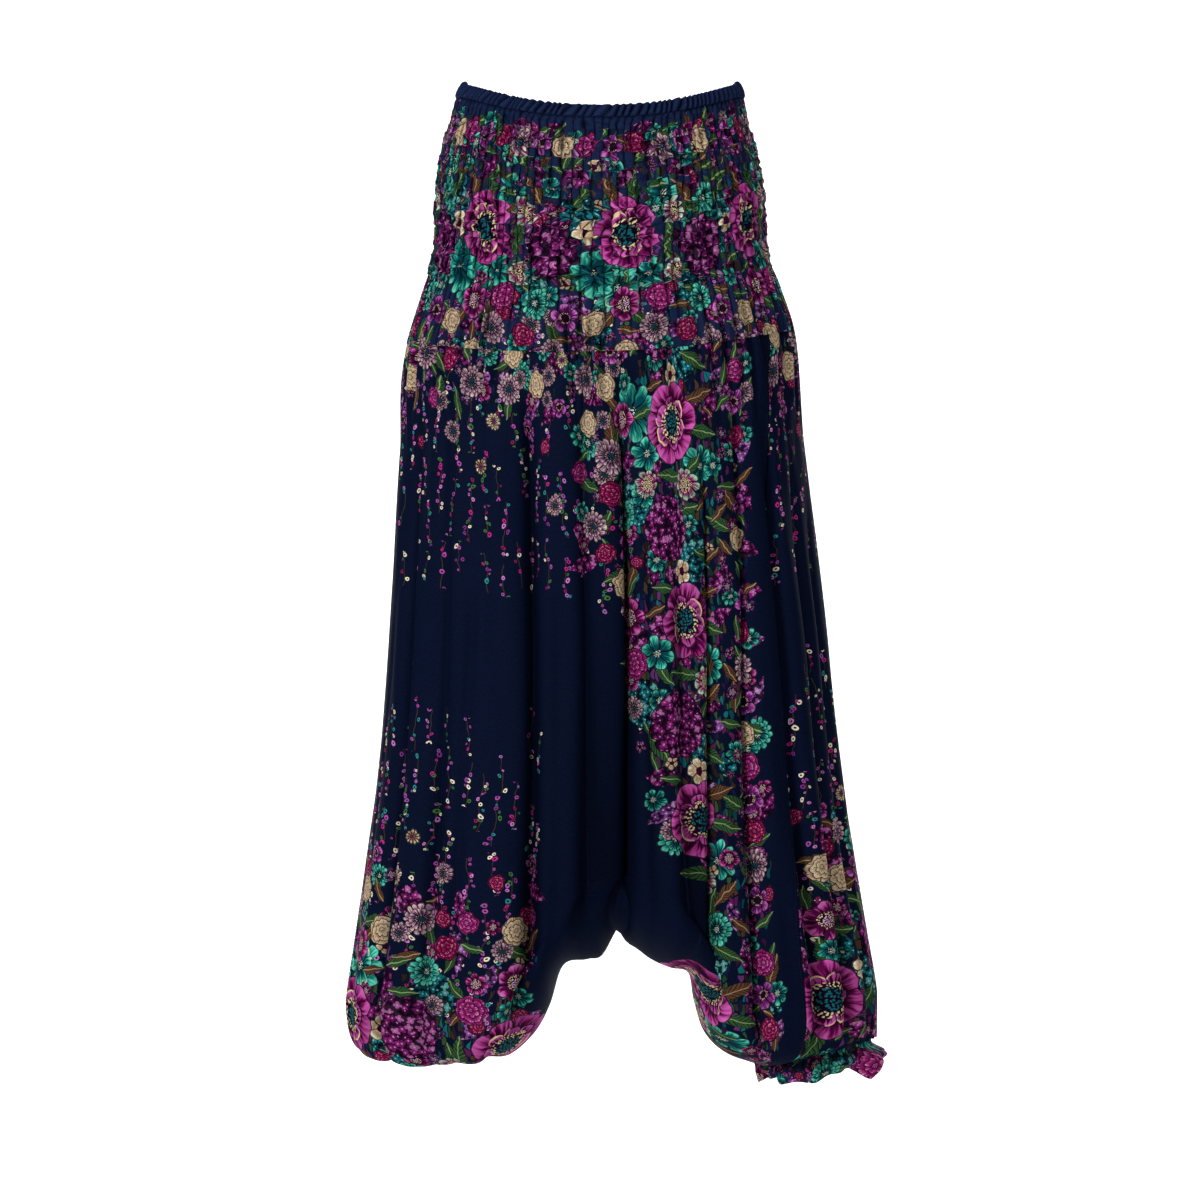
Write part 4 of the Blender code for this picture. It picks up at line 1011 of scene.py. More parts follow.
SIDE_GAP = SEAM_GAP / 0.9    # the seam gap as a stretch of round, of which one is 0.9 m long
PRINT_SHIFT = 126            # where the border's repeat starts round the yoke
PRINT_DROP = 9               # and how far below the casing
yoke_front = yoke("yoke_front_cloth", SIDE_GAP, SIDE_AT_YOKE - SIDE_GAP)
yoke_back = yoke("yoke_back_cloth", SIDE_AT_YOKE + SIDE_GAP, 2 - SIDE_GAP)
yoke_print = blank_print()
lay_border(yoke_print, 5, lambda along, across: (
    np.array(((along - REPEAT + PRINT_SHIFT) * MM, (across + PRINT_DROP) * MM)), 0.0),
    YOKE_FLAT / MM + REPEAT, 0, lambda along, across: across < YOKE_BORDER, YOKE_GAP)
yoke_rayon = printed_rayon("shirred_flowered_rayon", NAVY, NAVY_DARK)
for piece, solid in ((yoke_front, "yoke_front"), (yoke_back, "yoke_back")):
    mark_print(piece, yoke_print[0], lambda at: lushness(at[:, 1] / MM - PRINT_DROP))
    piece.data.materials.append(yoke_rayon)
    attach(piece, "root")
    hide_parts(solid)


# ---- Leg panels ----
# A wide front and a wide back of printed rayon, each cut in one piece for both legs.  They hang in
# rolls from the yoke, balloon over the ankles and are drawn in by the elastic; the inseam between
# the legs lies far below the crotch.
LEG_LEVEL = -0.905           # where the legs begin to turn in to the ankles
HANG_SHARE = 0.62            # share of a panel's run that hangs straight, the rest turns under
INSEAM_EASE = 0.03           # the cloth's end swings from ankle to inseam over this much round
RIGHT_INNER = 0.360          # round positions where the cloth changes from ankle to inseam
LEFT_INNER = 0.660
# Elastic rings at the ankles: middle, half width and depth, height, and how much lower the inner
# side lies than the outer side.
RIGHT_ANKLE = {"x": -0.163, "half_width": 0.047, "half_depth": 0.046, "z": -0.930, "slope": 0.000}
LEFT_ANKLE = {"x": 0.2150, "half_width": 0.0615, "half_depth": 0.052, "z": -0.953, "slope": 0.012}
# The seam between front and back on the wearer's left leg, by the height on that leg.
SIDE_SEAM_COLUMNS = ("level", "round")
SIDE_SEAM = (
    (-0.245, 0.825),
    (-0.400, 0.788),
    (-0.550, 0.762),
    (-0.700, 0.766),
    (-0.800, 0.749),
    (-0.940, 0.738),
)
# Where each stretch of cloth ends between the ankles: the inseam, seen from the front.
INSEAM_COLUMNS = ("round", "x", "z")
INSEAM = (
    (0.360, -0.116, -0.930),
    (0.383, -0.090, -0.950),
    (0.404, -0.066, -0.936),
    (0.425, -0.050, -0.908),
    (0.445, -0.038, -0.870),
    (0.472, -0.012, -0.863),
    (0.490, 0.004, -0.857),
    (0.497, 0.011, -0.844),
    (0.503, 0.017, -0.833),
    (0.511, 0.024, -0.843),
    (0.530, 0.037, -0.853),
    (0.550, 0.052, -0.864),
    (0.570, 0.071, -0.872),
    (0.587, 0.088, -0.876),
    (0.605, 0.094, -0.905),
    (0.628, 0.106, -0.938),
    (0.645, 0.126, -0.956),
    (0.660, 0.152, -0.965),
)
# The turn of the cloth at its lower end: the height where it leaves the straight hang, the depth
# that it is drawn to, the share of the way that it runs level into its end, and how far below its
# end it comes from.
TURN_COLUMNS = ("round", "start_z", "low_z", "reach", "rise")
TURNS = (
    (0.000, -0.905, -0.955, 0.60, 0.038),
    (0.060, -0.908, -0.965, 0.55, 0.044),
    (0.150, -0.912, -0.976, 0.50, 0.048),
    (0.300, -0.912, -0.976, 0.45, 0.046),
    (0.360, -0.898, -0.970, 0.45, 0.034),
    (0.405, -0.860, -0.915, 0.45, 0.004),
    (0.445, -0.805, -0.868, 0.45, 0.000),
    (0.504, -0.775, -0.822, 0.40, 0.000),
    (0.587, -0.808, -0.866, 0.45, 0.000),
    (0.620, -0.862, -0.930, 0.45, 0.002),
    (0.660, -0.900, -0.958, 0.45, 0.002),
    (0.800, -0.905, -0.955, 0.45, 0.002),
    (0.930, -0.900, -0.934, 0.48, 0.000),
    (1.000, -0.895, -0.922, 0.50, 0.000),
)
# Troughs between the rolls of hanging cloth: where each runs at the top and at the bottom, how
# deep and how wide it is there, the level where it begins, and how far the roll before it leans
# over it.
FOLD_COLUMNS = ("top", "bottom", "top_depth", "bottom_depth", "top_width", "bottom_width", "begins",
                "lean")
FOLDS = (
    (0.145, 0.158, 0.008, 0.019, 0.020, 0.026, -0.26, -0.6),
    (0.238, 0.250, 0.006, 0.014, 0.018, 0.023, -0.26, 0.3),
    (0.300, 0.296, 0.002, 0.009, 0.014, 0.019, -0.45, 0.0),
    (0.388, 0.403, 0.016, 0.029, 0.018, 0.022, -0.26, 0.3),
    (0.435, 0.437, 0.002, 0.006, 0.010, 0.012, -0.42, 0.0),
    (0.472, 0.469, 0.013, 0.024, 0.015, 0.018, -0.26, 0.4),
    (0.520, 0.504, 0.022, 0.044, 0.015, 0.018, -0.28, 1.0),
    (0.556, 0.544, 0.004, 0.012, 0.012, 0.015, -0.38, 0.3),
    (0.596, 0.580, 0.009, 0.021, 0.015, 0.016, -0.42, 0.5),
    (0.652, 0.606, 0.009, 0.031, 0.015, 0.018, -0.32, 0.9),
    (0.718, 0.668, 0.012, 0.021, 0.014, 0.017, -0.28, 0.7),
    (0.786, 0.774, 0.010, 0.020, 0.018, 0.022, -0.30, 0.3),
    (0.872, 0.850, 0.008, 0.016, 0.019, 0.022, -0.35, 0.3),
    (0.935, 0.925, 0.004, 0.010, 0.018, 0.022, -0.40, 0.0),
    (1.105, 1.122, 0.006, 0.015, 0.022, 0.026, -0.26, 0.3),
    (1.190, 1.196, 0.003, 0.009, 0.018, 0.020, -0.45, 0.0),
    (1.245, 1.246, 0.009, 0.020, 0.021, 0.025, -0.26, 0.3),
    (1.312, 1.318, 0.003, 0.012, 0.016, 0.020, -0.38, 0.0),
    (1.375, 1.406, 0.012, 0.024, 0.019, 0.021, -0.26, 0.6),
    (1.444, 1.450, 0.004, 0.013, 0.015, 0.018, -0.45, 0.2),
    (1.500, 1.500, 0.017, 0.036, 0.015, 0.017, -0.30, 0.9),
    (1.560, 1.553, 0.006, 0.016, 0.016, 0.019, -0.32, 0.3),
    (1.636, 1.622, 0.012, 0.023, 0.021, 0.024, -0.26, 0.5),
    (1.706, 1.694, 0.003, 0.010, 0.016, 0.020, -0.42, 0.0),
    (1.772, 1.758, 0.009, 0.020, 0.023, 0.027, -0.26, 0.3),
    (1.868, 1.852, 0.008, 0.017, 0.023, 0.028, -0.26, -0.4),
)
FOLD_TOP = -0.30             # levels that the folds' top and bottom columns are read at
FOLD_BOTTOM = -0.85
FOLD_START = 0.02            # a fold grows from this far above the level where it begins
FOLD_GROWTH = 0.10           # to its full depth this far below it
FADE_START = 0.58            # runs between which the folds die away towards the lower end
FADE_END = 0.96
PANEL_CLOTH = 0.0009         # thickness of the hanging cloth
HOLLOW_DEPTH = 0.020         # a trough as deep as this gets the most painted shade,
PANEL_PAINTED_SHADE = 0.62          # and this much painted shade
LOOSE_PAINTED_SHADE = 0.6           # and the troughs between the loose folds this much
LEG_NAVY, LEG_NAVY_DARK = "#0c1631", "#080e20"     # the leg panels keep the deeper navy; the same cloth is given a lighter navy as painted light where it is gathered
RIPPLE_GROWTH = 0.05         # the hanging cloth's ripples grow over this length below the yoke
RIPPLES = (
    (21, 61, 0.10, 0.0018),
    (22, 97, -0.07, 0.0010),
    (23, 33, 0.22, 0.0024),
)
PLEATS = 26                  # pleats that the elastic lays round an ankle
PLEAT_HEIGHT = 0.0024
PLEAT_START = 0.80           # run where they begin
PLEAT_STRAY = 0.08           # how far that differs
FRONT_FIXED, BACK_FIXED = 0.62, 1.0   # cloth past this round follows the side seam
WIDTH_FROM, WIDTH_TO = 0.12, 0.45   # stretch of the run over which the cloth's width is measured
SELVEDGE = 27                # plain stretch between the side seam and the border, in millimetres
EDGE_SHIFT = 172             # where the border's repeat starts above the yoke seam
EDGE_BORDER = 330            # how far the side border reaches across the panel
EDGE_DOWN = (140, 240, 360, 460, 520, 580, 640, 700)      # at these lengths below the yoke seam
EDGE_REACH = (330, 230, 190, 165, 122, 100, 130, 165)     # it reaches this far
HEM_RIGHT, HEM_LEFT = 0.43, 0.66    # the hem borders end at these shares of the width
HEM_EASE = 0.04              # over this much of it
HEM_STOPS = 150              # and this far from the side border's selvedge
HEM_SHIFT, HEM_DROP = 62, 36  # how far the hem border is moved along and below the cloth's end
EDGE_FADE = 40               # foliage thins out over this stretch of the side border's reach
TOP_FOLIAGE, TOP_FADE = 0.3, 60       # a little hangs below the yoke seam
STRINGS_INTO = 60            # the yoke's strings reach this far into the side border
SPRAYS_TOP = 214             # the part of the border that hangs below the yoke seam starts here


def ankle_point(ankle, turn):
    """Point on an ankle ring: turn 0 is the side towards the other leg, 1 the outer side."""
    inward = -1.0 if ankle["x"] > 0 else 1.0
    angle = turn * math.pi
    x = ankle["x"] + inward * ankle["half_width"] * np.cos(angle)
    y = ankle["half_depth"] * np.sin(angle)
    z = ankle["z"] - ankle["slope"] * np.cos(angle)
    return x, y, z


def lower_end(around):
    """Where the cloth of a panel ends below: on an ankle ring, or on the inseam between them."""
    share, side = across(around)
    right = ankle_point(RIGHT_ANKLE, np.clip(1 - share / RIGHT_INNER, 0, 1))
    left = ankle_point(LEFT_ANKLE, np.clip((share - LEFT_INNER) / (1 - LEFT_INNER), 0, 1))
    on_right, on_left = share < RIGHT_INNER, share > LEFT_INNER
    x = np.where(on_right, right[0], np.where(on_left, left[0], along(INSEAM, INSEAM_COLUMNS, "x", share)))
    y = np.where(on_right, right[1], np.where(on_left, left[1], 0.0)) * side
    z = np.where(on_right, right[2], np.where(on_left, left[2], along(INSEAM, INSEAM_COLUMNS, "z", share)))
    return np.stack([x, y, z], axis=-1)


def hanging_cloth(around, run):
    """Point of a leg panel without folds: run 0 is the yoke seam, 1 the cloth's lower end."""
    share = across(around)[0]
    start = along(TURNS, TURN_COLUMNS, "start_z", share)
    low = along(TURNS, TURN_COLUMNS, "low_z", share)
    reach = along(TURNS, TURN_COLUMNS, "reach", share)
    rise = along(TURNS, TURN_COLUMNS, "rise", share)
    hang = np.clip(run / HANG_SHARE, 0, 1)
    level = YOKE_LEVEL + hang * (start - YOKE_LEVEL)
    straight = ring(around, level)
    end = lower_end(around)
    first = ring(around, start + 0 * run)
    second = first.copy()
    second[..., 2] = low
    out = (first - end) * reach[..., None]
    inseam = ease(RIGHT_INNER, RIGHT_INNER + INSEAM_EASE, share)
    inseam = inseam * (1 - ease(LEFT_INNER - INSEAM_EASE, LEFT_INNER, share))
    out[..., 0] *= 1 - inseam
    out[..., 2] = -rise
    third = end + out
    t = np.clip((run - HANG_SHARE) / (1 - HANG_SHARE), 0, 1)[..., None]
    turned = (first * (1 - t) ** 3 + 3 * second * t * (1 - t) ** 2
              + 3 * third * t ** 2 * (1 - t) + end * t ** 3)
    return np.where(t > 0, turned, straight), level


def fold_pull(around, level):
    """How far the troughs draw the cloth in, and how far the rolls lean round over them."""
    depth = np.zeros(np.broadcast(around, level).shape)
    lean = np.zeros_like(depth)
    t = np.clip((level - FOLD_TOP) / (FOLD_BOTTOM - FOLD_TOP), 0, 1.15)
    for row in FOLDS:
        fold = dict(zip(FOLD_COLUMNS, row))
        middle = fold["top"] + t * (fold["bottom"] - fold["top"])
        width = fold["top_width"] + t * (fold["bottom_width"] - fold["top_width"])
        deep = fold["top_depth"] + t * (fold["bottom_depth"] - fold["top_depth"])
        grown = ease(fold["begins"] + FOLD_START, fold["begins"] - FOLD_GROWTH, level)
        away = (around - middle) / width
        depth += deep * grown / (1 + away ** 2) ** 1.5
        edge = away + 0.9 * np.sign(fold["lean"])
        lean += fold["lean"] * width * grown * np.exp(-(edge / 0.8) ** 2)
    return depth, lean


def ankle_pleats(around, run):
    """Pleats that run up from the elastic at the ankles."""
    share = across(around)[0]
    turn = np.where(share < RIGHT_INNER, share / RIGHT_INNER, (1 - share) / (1 - LEFT_INNER))
    on_ankle = ease(0, 0.03, np.abs(share - (RIGHT_INNER + LEFT_INNER) / 2)
                    - (LEFT_INNER - RIGHT_INNER) / 2 + 0.01)
    start = PLEAT_START + PLEAT_STRAY * wander(31, 67, around / 2)
    grown = ease(start, 1.0, run)
    uneven = 1 + 0.5 * wander(32, 71, around / 2)
    phase = turn * PLEATS / 2 + 0.5 * wander(33, 41, around / 2)
    return PLEAT_HEIGHT * uneven * grown * on_ankle * (0.5 + 0.5 * np.cos(phase * 2 * math.pi))


def panel_cloth(around, run):
    """Middle of a leg panel's cloth with its folds, and the painted shade of its troughs, darker the
    deeper it lies between them.
    """
    level = hanging_cloth(around, run)[1]
    fade = 1 - ease(FADE_START, FADE_END, run)
    depth, lean = fold_pull(np.mod(around, 2.0), level)
    moved = around + lean * fade
    plain = hanging_cloth(moved, run)[0]
    direction = surface_normals(hanging_cloth(around, run)[0])
    ripples = waves(RIPPLES, around, level) * ease(YOKE_LEVEL, YOKE_LEVEL - RIPPLE_GROWTH, level)
    out = ripples * fade + loose_folds(around, level) * (level > LEG_LEVEL)
    place = plain - direction * (depth * fade + ankle_pleats(around, run) - out)[..., None]
    # Painted shade in the troughs of the hanging folds and of the loose folds below the yoke.
    painted_shading = np.clip(depth * fade / HOLLOW_DEPTH, 0, 1) ** 2 * PANEL_PAINTED_SHADE
    loose = LOOSE_PAINTED_SHADE * np.clip(-loose_folds(around, level) / LOOSE_HEIGHT, 0, 1)
    return place, np.maximum(painted_shading, loose)


def lean_with_seam(places, levels, fixed, front):
    """Move the columns beside the side seam so that the last one follows it down."""
    seam = along(SIDE_SEAM, SIDE_SEAM_COLUMNS, "round", levels)[None, :]
    at_top, place = SIDE_SEAM[0][1], places[:, None]
    if front:
        share = np.clip((place - fixed) / (at_top - fixed), 0, 1)
    else:
        share = np.clip((fixed - place) / (fixed - at_top), 0, 1)
    return place + share * (seam - at_top)


def leg_panel(name, start, end, fixed, columns, rows):
    """The wide front or back, both legs in one piece, from the yoke seam to ankles and inseam."""
    runs = np.linspace(0, 1, rows + 1)
    levels = YOKE_LEVEL + np.clip(runs / HANG_SHARE, 0, 1) * (LEG_LEVEL - YOKE_LEVEL)
    places = np.linspace(start, end, columns + 1)
    around = lean_with_seam(places, levels, fixed, end < 1)
    run = np.broadcast_to(runs, around.shape)
    middle, painted_shading = panel_cloth(around, run)
    direction = surface_normals(middle)
    walls = []
    for offset in (PANEL_CLOTH / 2, -PANEL_CLOTH / 2):
        wall = seam_edges(middle + direction * offset, SEAM_GAP / 2, 0)
        side = np.where(around > 1, 1.0, -1.0)
        own_half = side * np.maximum(side * wall[..., 1], SEAM_GAP / 2)
        wall[..., 1] = np.where(across(around)[0] < LEFT_INNER, own_half, wall[..., 1])
        walls.append(wall)
    steps = np.linalg.norm(np.diff(middle, axis=1), axis=-1)
    down = np.concatenate([np.zeros((columns + 1, 1)), np.cumsum(steps, axis=1)], axis=1)
    hips = (runs > WIDTH_FROM) & (runs < WIDTH_TO)
    widths = np.linalg.norm(np.diff(middle[:, hips], axis=0), axis=-1).mean(axis=1)
    round_cloth = np.concatenate([[0], np.cumsum(widths)])
    flat = np.stack([np.broadcast_to(round_cloth[:, None], down.shape), down], axis=-1)
    panel = cloth_wall(name, walls[0], walls[1][::2, ::2], flat, flat[::2, ::2], painted_shading)
    return panel, round_cloth, down[:, -1], across(places)[0]


def print_panel(panel, seed, round_cloth, lengths, shares):
    """Print a leg panel: the border down the side edge where its width ends, hem borders round the
    ankles, and the sprays that hang from the yoke."""
    width = round_cloth[-1] / MM

    def from_edge(u):
        """Distance from the border's selvedge, in millimetres."""
        return width - u - SELVEDGE

    def ankle_share(u):
        """1 over an ankle, 0 over the crotch."""
        share = np.interp(u, round_cloth / MM, shares)
        return np.maximum(1 - ease(HEM_RIGHT - HEM_EASE, HEM_RIGHT, share),
                          ease(HEM_LEFT, HEM_LEFT + HEM_EASE, share))

    def down_edge(along, across):
        u = width - across - SELVEDGE
        return np.array((u * MM, (along - EDGE_SHIFT) * MM)), math.pi / 2

    def up_hem(along, across):
        u = width - along + HEM_SHIFT
        end = np.interp(u, round_cloth / MM, lengths)
        return np.array((u * MM, end - (across - HEM_DROP) * MM)), math.pi

    def from_yoke(along, across):
        return np.array((along * MM, (across - SPRAYS_TOP) * MM)), 0.0

    longest = lengths.max() / MM
    layers = blank_print()
    lay_border(layers, seed, down_edge, longest + EDGE_SHIFT, 0,
               lambda along, across: across < np.interp(along - EDGE_SHIFT, EDGE_DOWN, EDGE_REACH))
    lay_border(layers, seed + 1, up_hem, width + HEM_SHIFT, 0,
               lambda along, across: ankle_share(width - along + HEM_SHIFT) > 0.5
               and from_edge(width - along + HEM_SHIFT) > HEM_STOPS)
    lay_border(layers, seed + 2, from_yoke, width, SPRAYS_TOP - 6,
               lambda along, across: from_edge(along) > EDGE_BORDER - STRINGS_INTO)

    def lush(at):
        u = at[:, 0] / MM
        reach = np.interp(at[:, 1] / MM, EDGE_DOWN, EDGE_REACH)
        edge = np.minimum(lushness(from_edge(u)), 1 - ease(reach - EDGE_FADE, reach, from_edge(u)))
        to_hem = (np.interp(at[:, 0], round_cloth, lengths) - at[:, 1]) / MM
        hem = lushness(to_hem + HEM_DROP) * ankle_share(u) * (from_edge(u) > HEM_STOPS)
        top = TOP_FOLIAGE * (1 - ease(0, TOP_FADE, at[:, 1] / MM)) * (from_edge(u) > EDGE_FADE)
        return np.maximum(np.maximum(edge, hem), top)

    mark_print(panel, layers[0], lush)


front_panel, *front_cut = leg_panel("front_panel_cloth", SIDE_GAP, SIDE_AT_YOKE - SIDE_GAP,
                                    FRONT_FIXED, 240, 250)
back_panel, *back_cut = leg_panel("back_panel_cloth", SIDE_AT_YOKE + SIDE_GAP, 2 - SIDE_GAP,
                                  BACK_FIXED, 300, 220)
print_panel(front_panel, 11, *front_cut)
print_panel(back_panel, 21, *back_cut)
panel_rayon = printed_rayon("flowered_rayon_challis", LEG_NAVY, LEG_NAVY_DARK)
for piece, cut, solid, above in ((front_panel, front_cut, "front_panel", "yoke_front_cloth"),
                                 (back_panel, back_cut, "back_panel", "yoke_back_cloth")):
    piece.data.materials.append(panel_rayon)
    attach(piece, "root")
    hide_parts(solid)


# ---- Ankle cuffs ----
# Each leg ends in a ring of elastic, sewn on under the gathered cloth, with a short ruffle of the
# same print below it.
CUFF_COLUMNS = ("below", "out", "wave")
LEFT_CUFF = (
    (-0.004, -0.0016, 0.0000),
    (0.005, -0.0016, 0.0008),
    (0.012, 0.0100, 0.0040),
    (0.021, 0.0095, 0.0065),
    (0.029, 0.0030, 0.0060),
)
RIGHT_CUFF = (
    (-0.004, -0.0016, 0.0000),
    (0.006, -0.0018, 0.0006),
    (0.014, -0.0035, 0.0015),
    (0.026, -0.0050, 0.0030),
)
CUFF_WAVES = 5               # big waves round a ruffle,
SMALL_WAVES, SMALL_HEIGHT = 13, 0.45  # and small ones, this high beside them
WAVE_UNEVEN = 0.6            # how much their heights differ
WAVE_LIFT = 0.16             # how much longer the ruffle hangs in a wave
RUFFLE_LEAN = 0.80           # how much more a ruffle stands out on the leg's outer side,
RUFFLE_DROP = 0.20           # and how much longer it is there
CUFF_GATHERS = 44            # fine gathers at the elastic of a cuff
CUFF_GATHER_HEIGHT = 0.0016
CUFF_STEPS = 352             # columns round a cuff
CUFF_ROWS = 24


def cuff_wall(ankle, section, angle, below, inset):
    """Points of a cuff and the painted shade between its fine gathers: the angle runs round the ankle from
    the side towards the other leg.
    """
    out = along(section, CUFF_COLUMNS, "out", below)
    wave = along(section, CUFF_COLUMNS, "wave", below)
    inward = -1.0 if ankle["x"] > 0 else 1.0
    cosine, sine = np.cos(angle), np.sin(angle)
    turn = angle / (2 * math.pi)
    big = np.cos(CUFF_WAVES * angle + 2.2 * wander(41, 9, turn))
    small = SMALL_HEIGHT * np.cos(SMALL_WAVES * angle + 1.5 * wander(44, 13, turn))
    ripple = (big + small - 1) * (1 + WAVE_UNEVEN * wander(42, 11, turn))
    gather = np.abs(np.cos(CUFF_GATHERS / 2 * angle + 0.9 * wander(43, 17, turn))) ** RIDGE
    on_ruffle = ease(section[1][0], section[-1][0], below)
    fine = CUFF_GATHER_HEIGHT * (gather - 0.5) * (1 - 0.6 * on_ruffle)
    stand = out * (1 - RUFFLE_LEAN * cosine) + wave * ripple + fine - inset
    x = ankle["x"] + inward * (ankle["half_width"] + stand) * cosine
    y = (ankle["half_depth"] + stand) * sine
    drop = 1 - RUFFLE_DROP * cosine + WAVE_LIFT * ripple * on_ruffle
    z = ankle["z"] - ankle["slope"] * cosine - below * drop + 0 * x
    # Painted shade deep between the fine gathers over the elastic, none on the ruffle.
    painted_shading = (1 - gather) ** 1.6 * (1 - on_ruffle)
    return np.stack([x, y, z], axis=-1), painted_shading


def cuff(name, ankle, section):
    """An elastic ring with the ruffle that hangs from it."""
    angle = np.arange(CUFF_STEPS)[:, None] / CUFF_STEPS * 2 * math.pi
    below = np.linspace(section[0][0], section[-1][0], CUFF_ROWS)[None, :]
    outer, painted_shading = cuff_wall(ankle, section, angle, below, 0.0)
    inner = cuff_wall(ankle, section, angle, below, CLOTH)[0]
    points = np.concatenate([outer, inner[:, ::-1]], axis=1)
    painted_shading = np.concatenate([painted_shading, 0 * painted_shading], axis=1)
    length = 4 * (ankle["half_width"] + ankle["half_depth"])
    down = np.concatenate([below[0], below[0][::-1]])[None, :]
    flat = np.stack(np.broadcast_arrays(angle / (2 * math.pi) * length, down), axis=-1)
    inside = np.repeat([0.0, 1.0], CUFF_ROWS)
    piece = cloth_tube(name, points, flat, inside, painted_shading, length)
    return piece


CUFF_PRINT = 168             # the part of the border that the ruffles are cut from,
CUFF_BORDER, CUFF_FROM, CUFF_TO = 500, 100, 250    # its length, and the stretch across it
right_cuff = cuff("right_cuff_cloth", RIGHT_ANKLE, RIGHT_CUFF)
left_cuff = cuff("left_cuff_cloth", LEFT_ANKLE, LEFT_CUFF)
cuff_print = blank_print()
lay_border(cuff_print, 31, lambda along, across: (
    np.array((along * MM, (across - CUFF_PRINT) * MM)), 0.0),
    CUFF_BORDER, CUFF_FROM, lambda along, across: across < CUFF_TO)
cuff_rayon = printed_rayon("ruffled_flowered_rayon", NAVY, NAVY_DARK)
for piece, solid in ((right_cuff, "right_cuff"), (left_cuff, "left_cuff")):
    mark_print(piece, cuff_print[0], lambda at: lushness(at[:, 1] / MM + CUFF_PRINT))
    piece.data.materials.append(cuff_rayon)
    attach(piece, "root")
    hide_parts(solid)


# ---- Sewing ----
# Navy polyester thread: a row of stitches that closes the casing, the rows that hold the elastic
# thread of the yoke, the topstitched side seams and a row over the elastic of each ankle.
STITCH = 0.0022              # length of a stitch
STITCH_PITCH = 0.0031        # length of a stitch with the gap after it
SHIRR_STITCH_PITCH = 0.0042  # elastic thread is sewn with longer stitches
CASING_ROW = 0.0016          # the row that closes the casing runs this far below its seam,
SEAM_ROW = 0.0045            # and the topstitching this far beside a side seam, in round
SEAM_ROW_END, SEAM_ROW_POINTS = 1.15, 900     # it runs a little into the turn of the leg
ANKLE_ROW, ANKLE_ROW_POINTS = 0.7, 1400       # share of the elastic's height where its row runs
THREAD_OUT = 1 / 3           # share of its thickness that a thread's middle stands out of the cloth
PLY = 1800.0                 # twists of the thread to a metre
THREAD = 0.0005              # thickness of the thread
THREAD_NAVY, THREAD_DARK = "#18233f", "#0c1226"


def stitches(name, rows, pitch):
    """One mesh of all the stitches of some rows; a row is its points and their outward directions."""
    bead = bmesh.new()
    bmesh.ops.create_uvsphere(bead, u_segments=4, v_segments=3, radius=1)
    shape = np.array([vertex.co for vertex in bead.verts])
    faces = [[vertex.index for vertex in face.verts] for face in bead.faces]
    bead.free()
    verts, sides = [], []
    for points, outward in rows:
        run = np.concatenate([[0], np.cumsum(np.linalg.norm(np.diff(points, axis=0), axis=-1))])
        middle = np.arange(pitch / 2, run[-1], pitch)

        def at(values, where):
            return np.stack([np.interp(where, run, values[:, i]) for i in range(3)], axis=-1)

        way = at(points, middle + 0.3 * pitch) - at(points, middle - 0.3 * pitch)
        way /= np.linalg.norm(way, axis=-1, keepdims=True)
        side = np.cross(at(outward, middle), way)
        side /= np.linalg.norm(side, axis=-1, keepdims=True)
        out = np.cross(way, side)
        for centre, *axes in zip(at(points, middle), side, out, way):
            grown = centre + shape * (THREAD / 2, THREAD / 2, STITCH / 2) @ np.array(axes)
            sides += [[corner + len(verts) for corner in face] for face in faces]
            verts += list(grown)
    data = bpy.data.meshes.new(name)
    data.from_pydata(verts, [], sides)
    data.shade_smooth()
    piece = bpy.data.objects.new(name, data)
    bpy.context.scene.collection.objects.link(piece)
    piece.data.materials.append(thread)
    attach(piece, "root")
    return piece


def polyester_thread():
    """Spun polyester: a matt twisted thread, a shade lighter than the cloth that it is sewn into."""
    material = bpy.data.materials.new("navy_polyester_thread")
    material.use_nodes = True
    tree = material.node_tree
    shader = tree.nodes["Principled BSDF"]
    shader.inputs["Roughness"].default_value = 0.6
    shader.inputs["Specular IOR Level"].default_value = 0.1
    place = node(tree, "TexCoord", out=3)
    ply = node(tree, "TexNoise", place, PLY, 1.0)
    twist = node(tree, "MapRange", ply, 0.35, 0.65)
    colour = node(tree, "Mix", twist, linear(THREAD_DARK), linear(THREAD_NAVY))
    tree.links.new(colour, shader.inputs["Base Color"])
    tree.links.new(node(tree, "Bump", 0.4, 0.0001, None, ply), shader.inputs["Normal"])
    return material


def yoke_row(depth):
    """A row of sewing round the yoke at a depth below the casing seam."""
    around = np.linspace(0, 2, GATHERS * 16)[:, None]
    number = np.floor(depth / SHIRR_PITCH + 0.5)
    stray = ROW_WOBBLE * SHIRR_PITCH * row_stray(around, number) * (number > 0)
    level = CASING_LEVEL - depth + stray
    points = shirred_cloth(around, level)[:, 0]
    outward = level_outward(around, level)[:, 0]
    return points + outward * THREAD * THREAD_OUT, outward


def seam_row(seam, inset):
    """A row of sewing down a leg panel beside a side seam, from the yoke to where the leg turns in."""
    run = np.linspace(0.004, HANG_SHARE * SEAM_ROW_END, SEAM_ROW_POINTS)[None, :]
    level = YOKE_LEVEL + np.clip(run / HANG_SHARE, 0, 1) * (LEG_LEVEL - YOKE_LEVEL)
    place = along(SIDE_SEAM, SIDE_SEAM_COLUMNS, "round", level) if seam else 0 * level
    around = place + inset + np.array([[-0.001], [0.0], [0.001]])
    cloth = panel_cloth(around, np.broadcast_to(run, around.shape))[0]
    outward = surface_normals(cloth)[1]
    return cloth[1] + outward * (PANEL_CLOTH / 2 + THREAD * THREAD_OUT), outward


def cuff_row(ankle, section):
    """A row of sewing over the elastic of a cuff."""
    angle = np.linspace(0, 2 * math.pi, ANKLE_ROW_POINTS)[:, None]
    below = np.full_like(angle, section[1][0] * ANKLE_ROW)
    points = cuff_wall(ankle, section, angle, below, -THREAD * THREAD_OUT)[0][:, 0]
    outward = cuff_wall(ankle, section, angle, below, -0.001)[0][:, 0] - points
    return points, outward / np.linalg.norm(outward, axis=-1, keepdims=True)


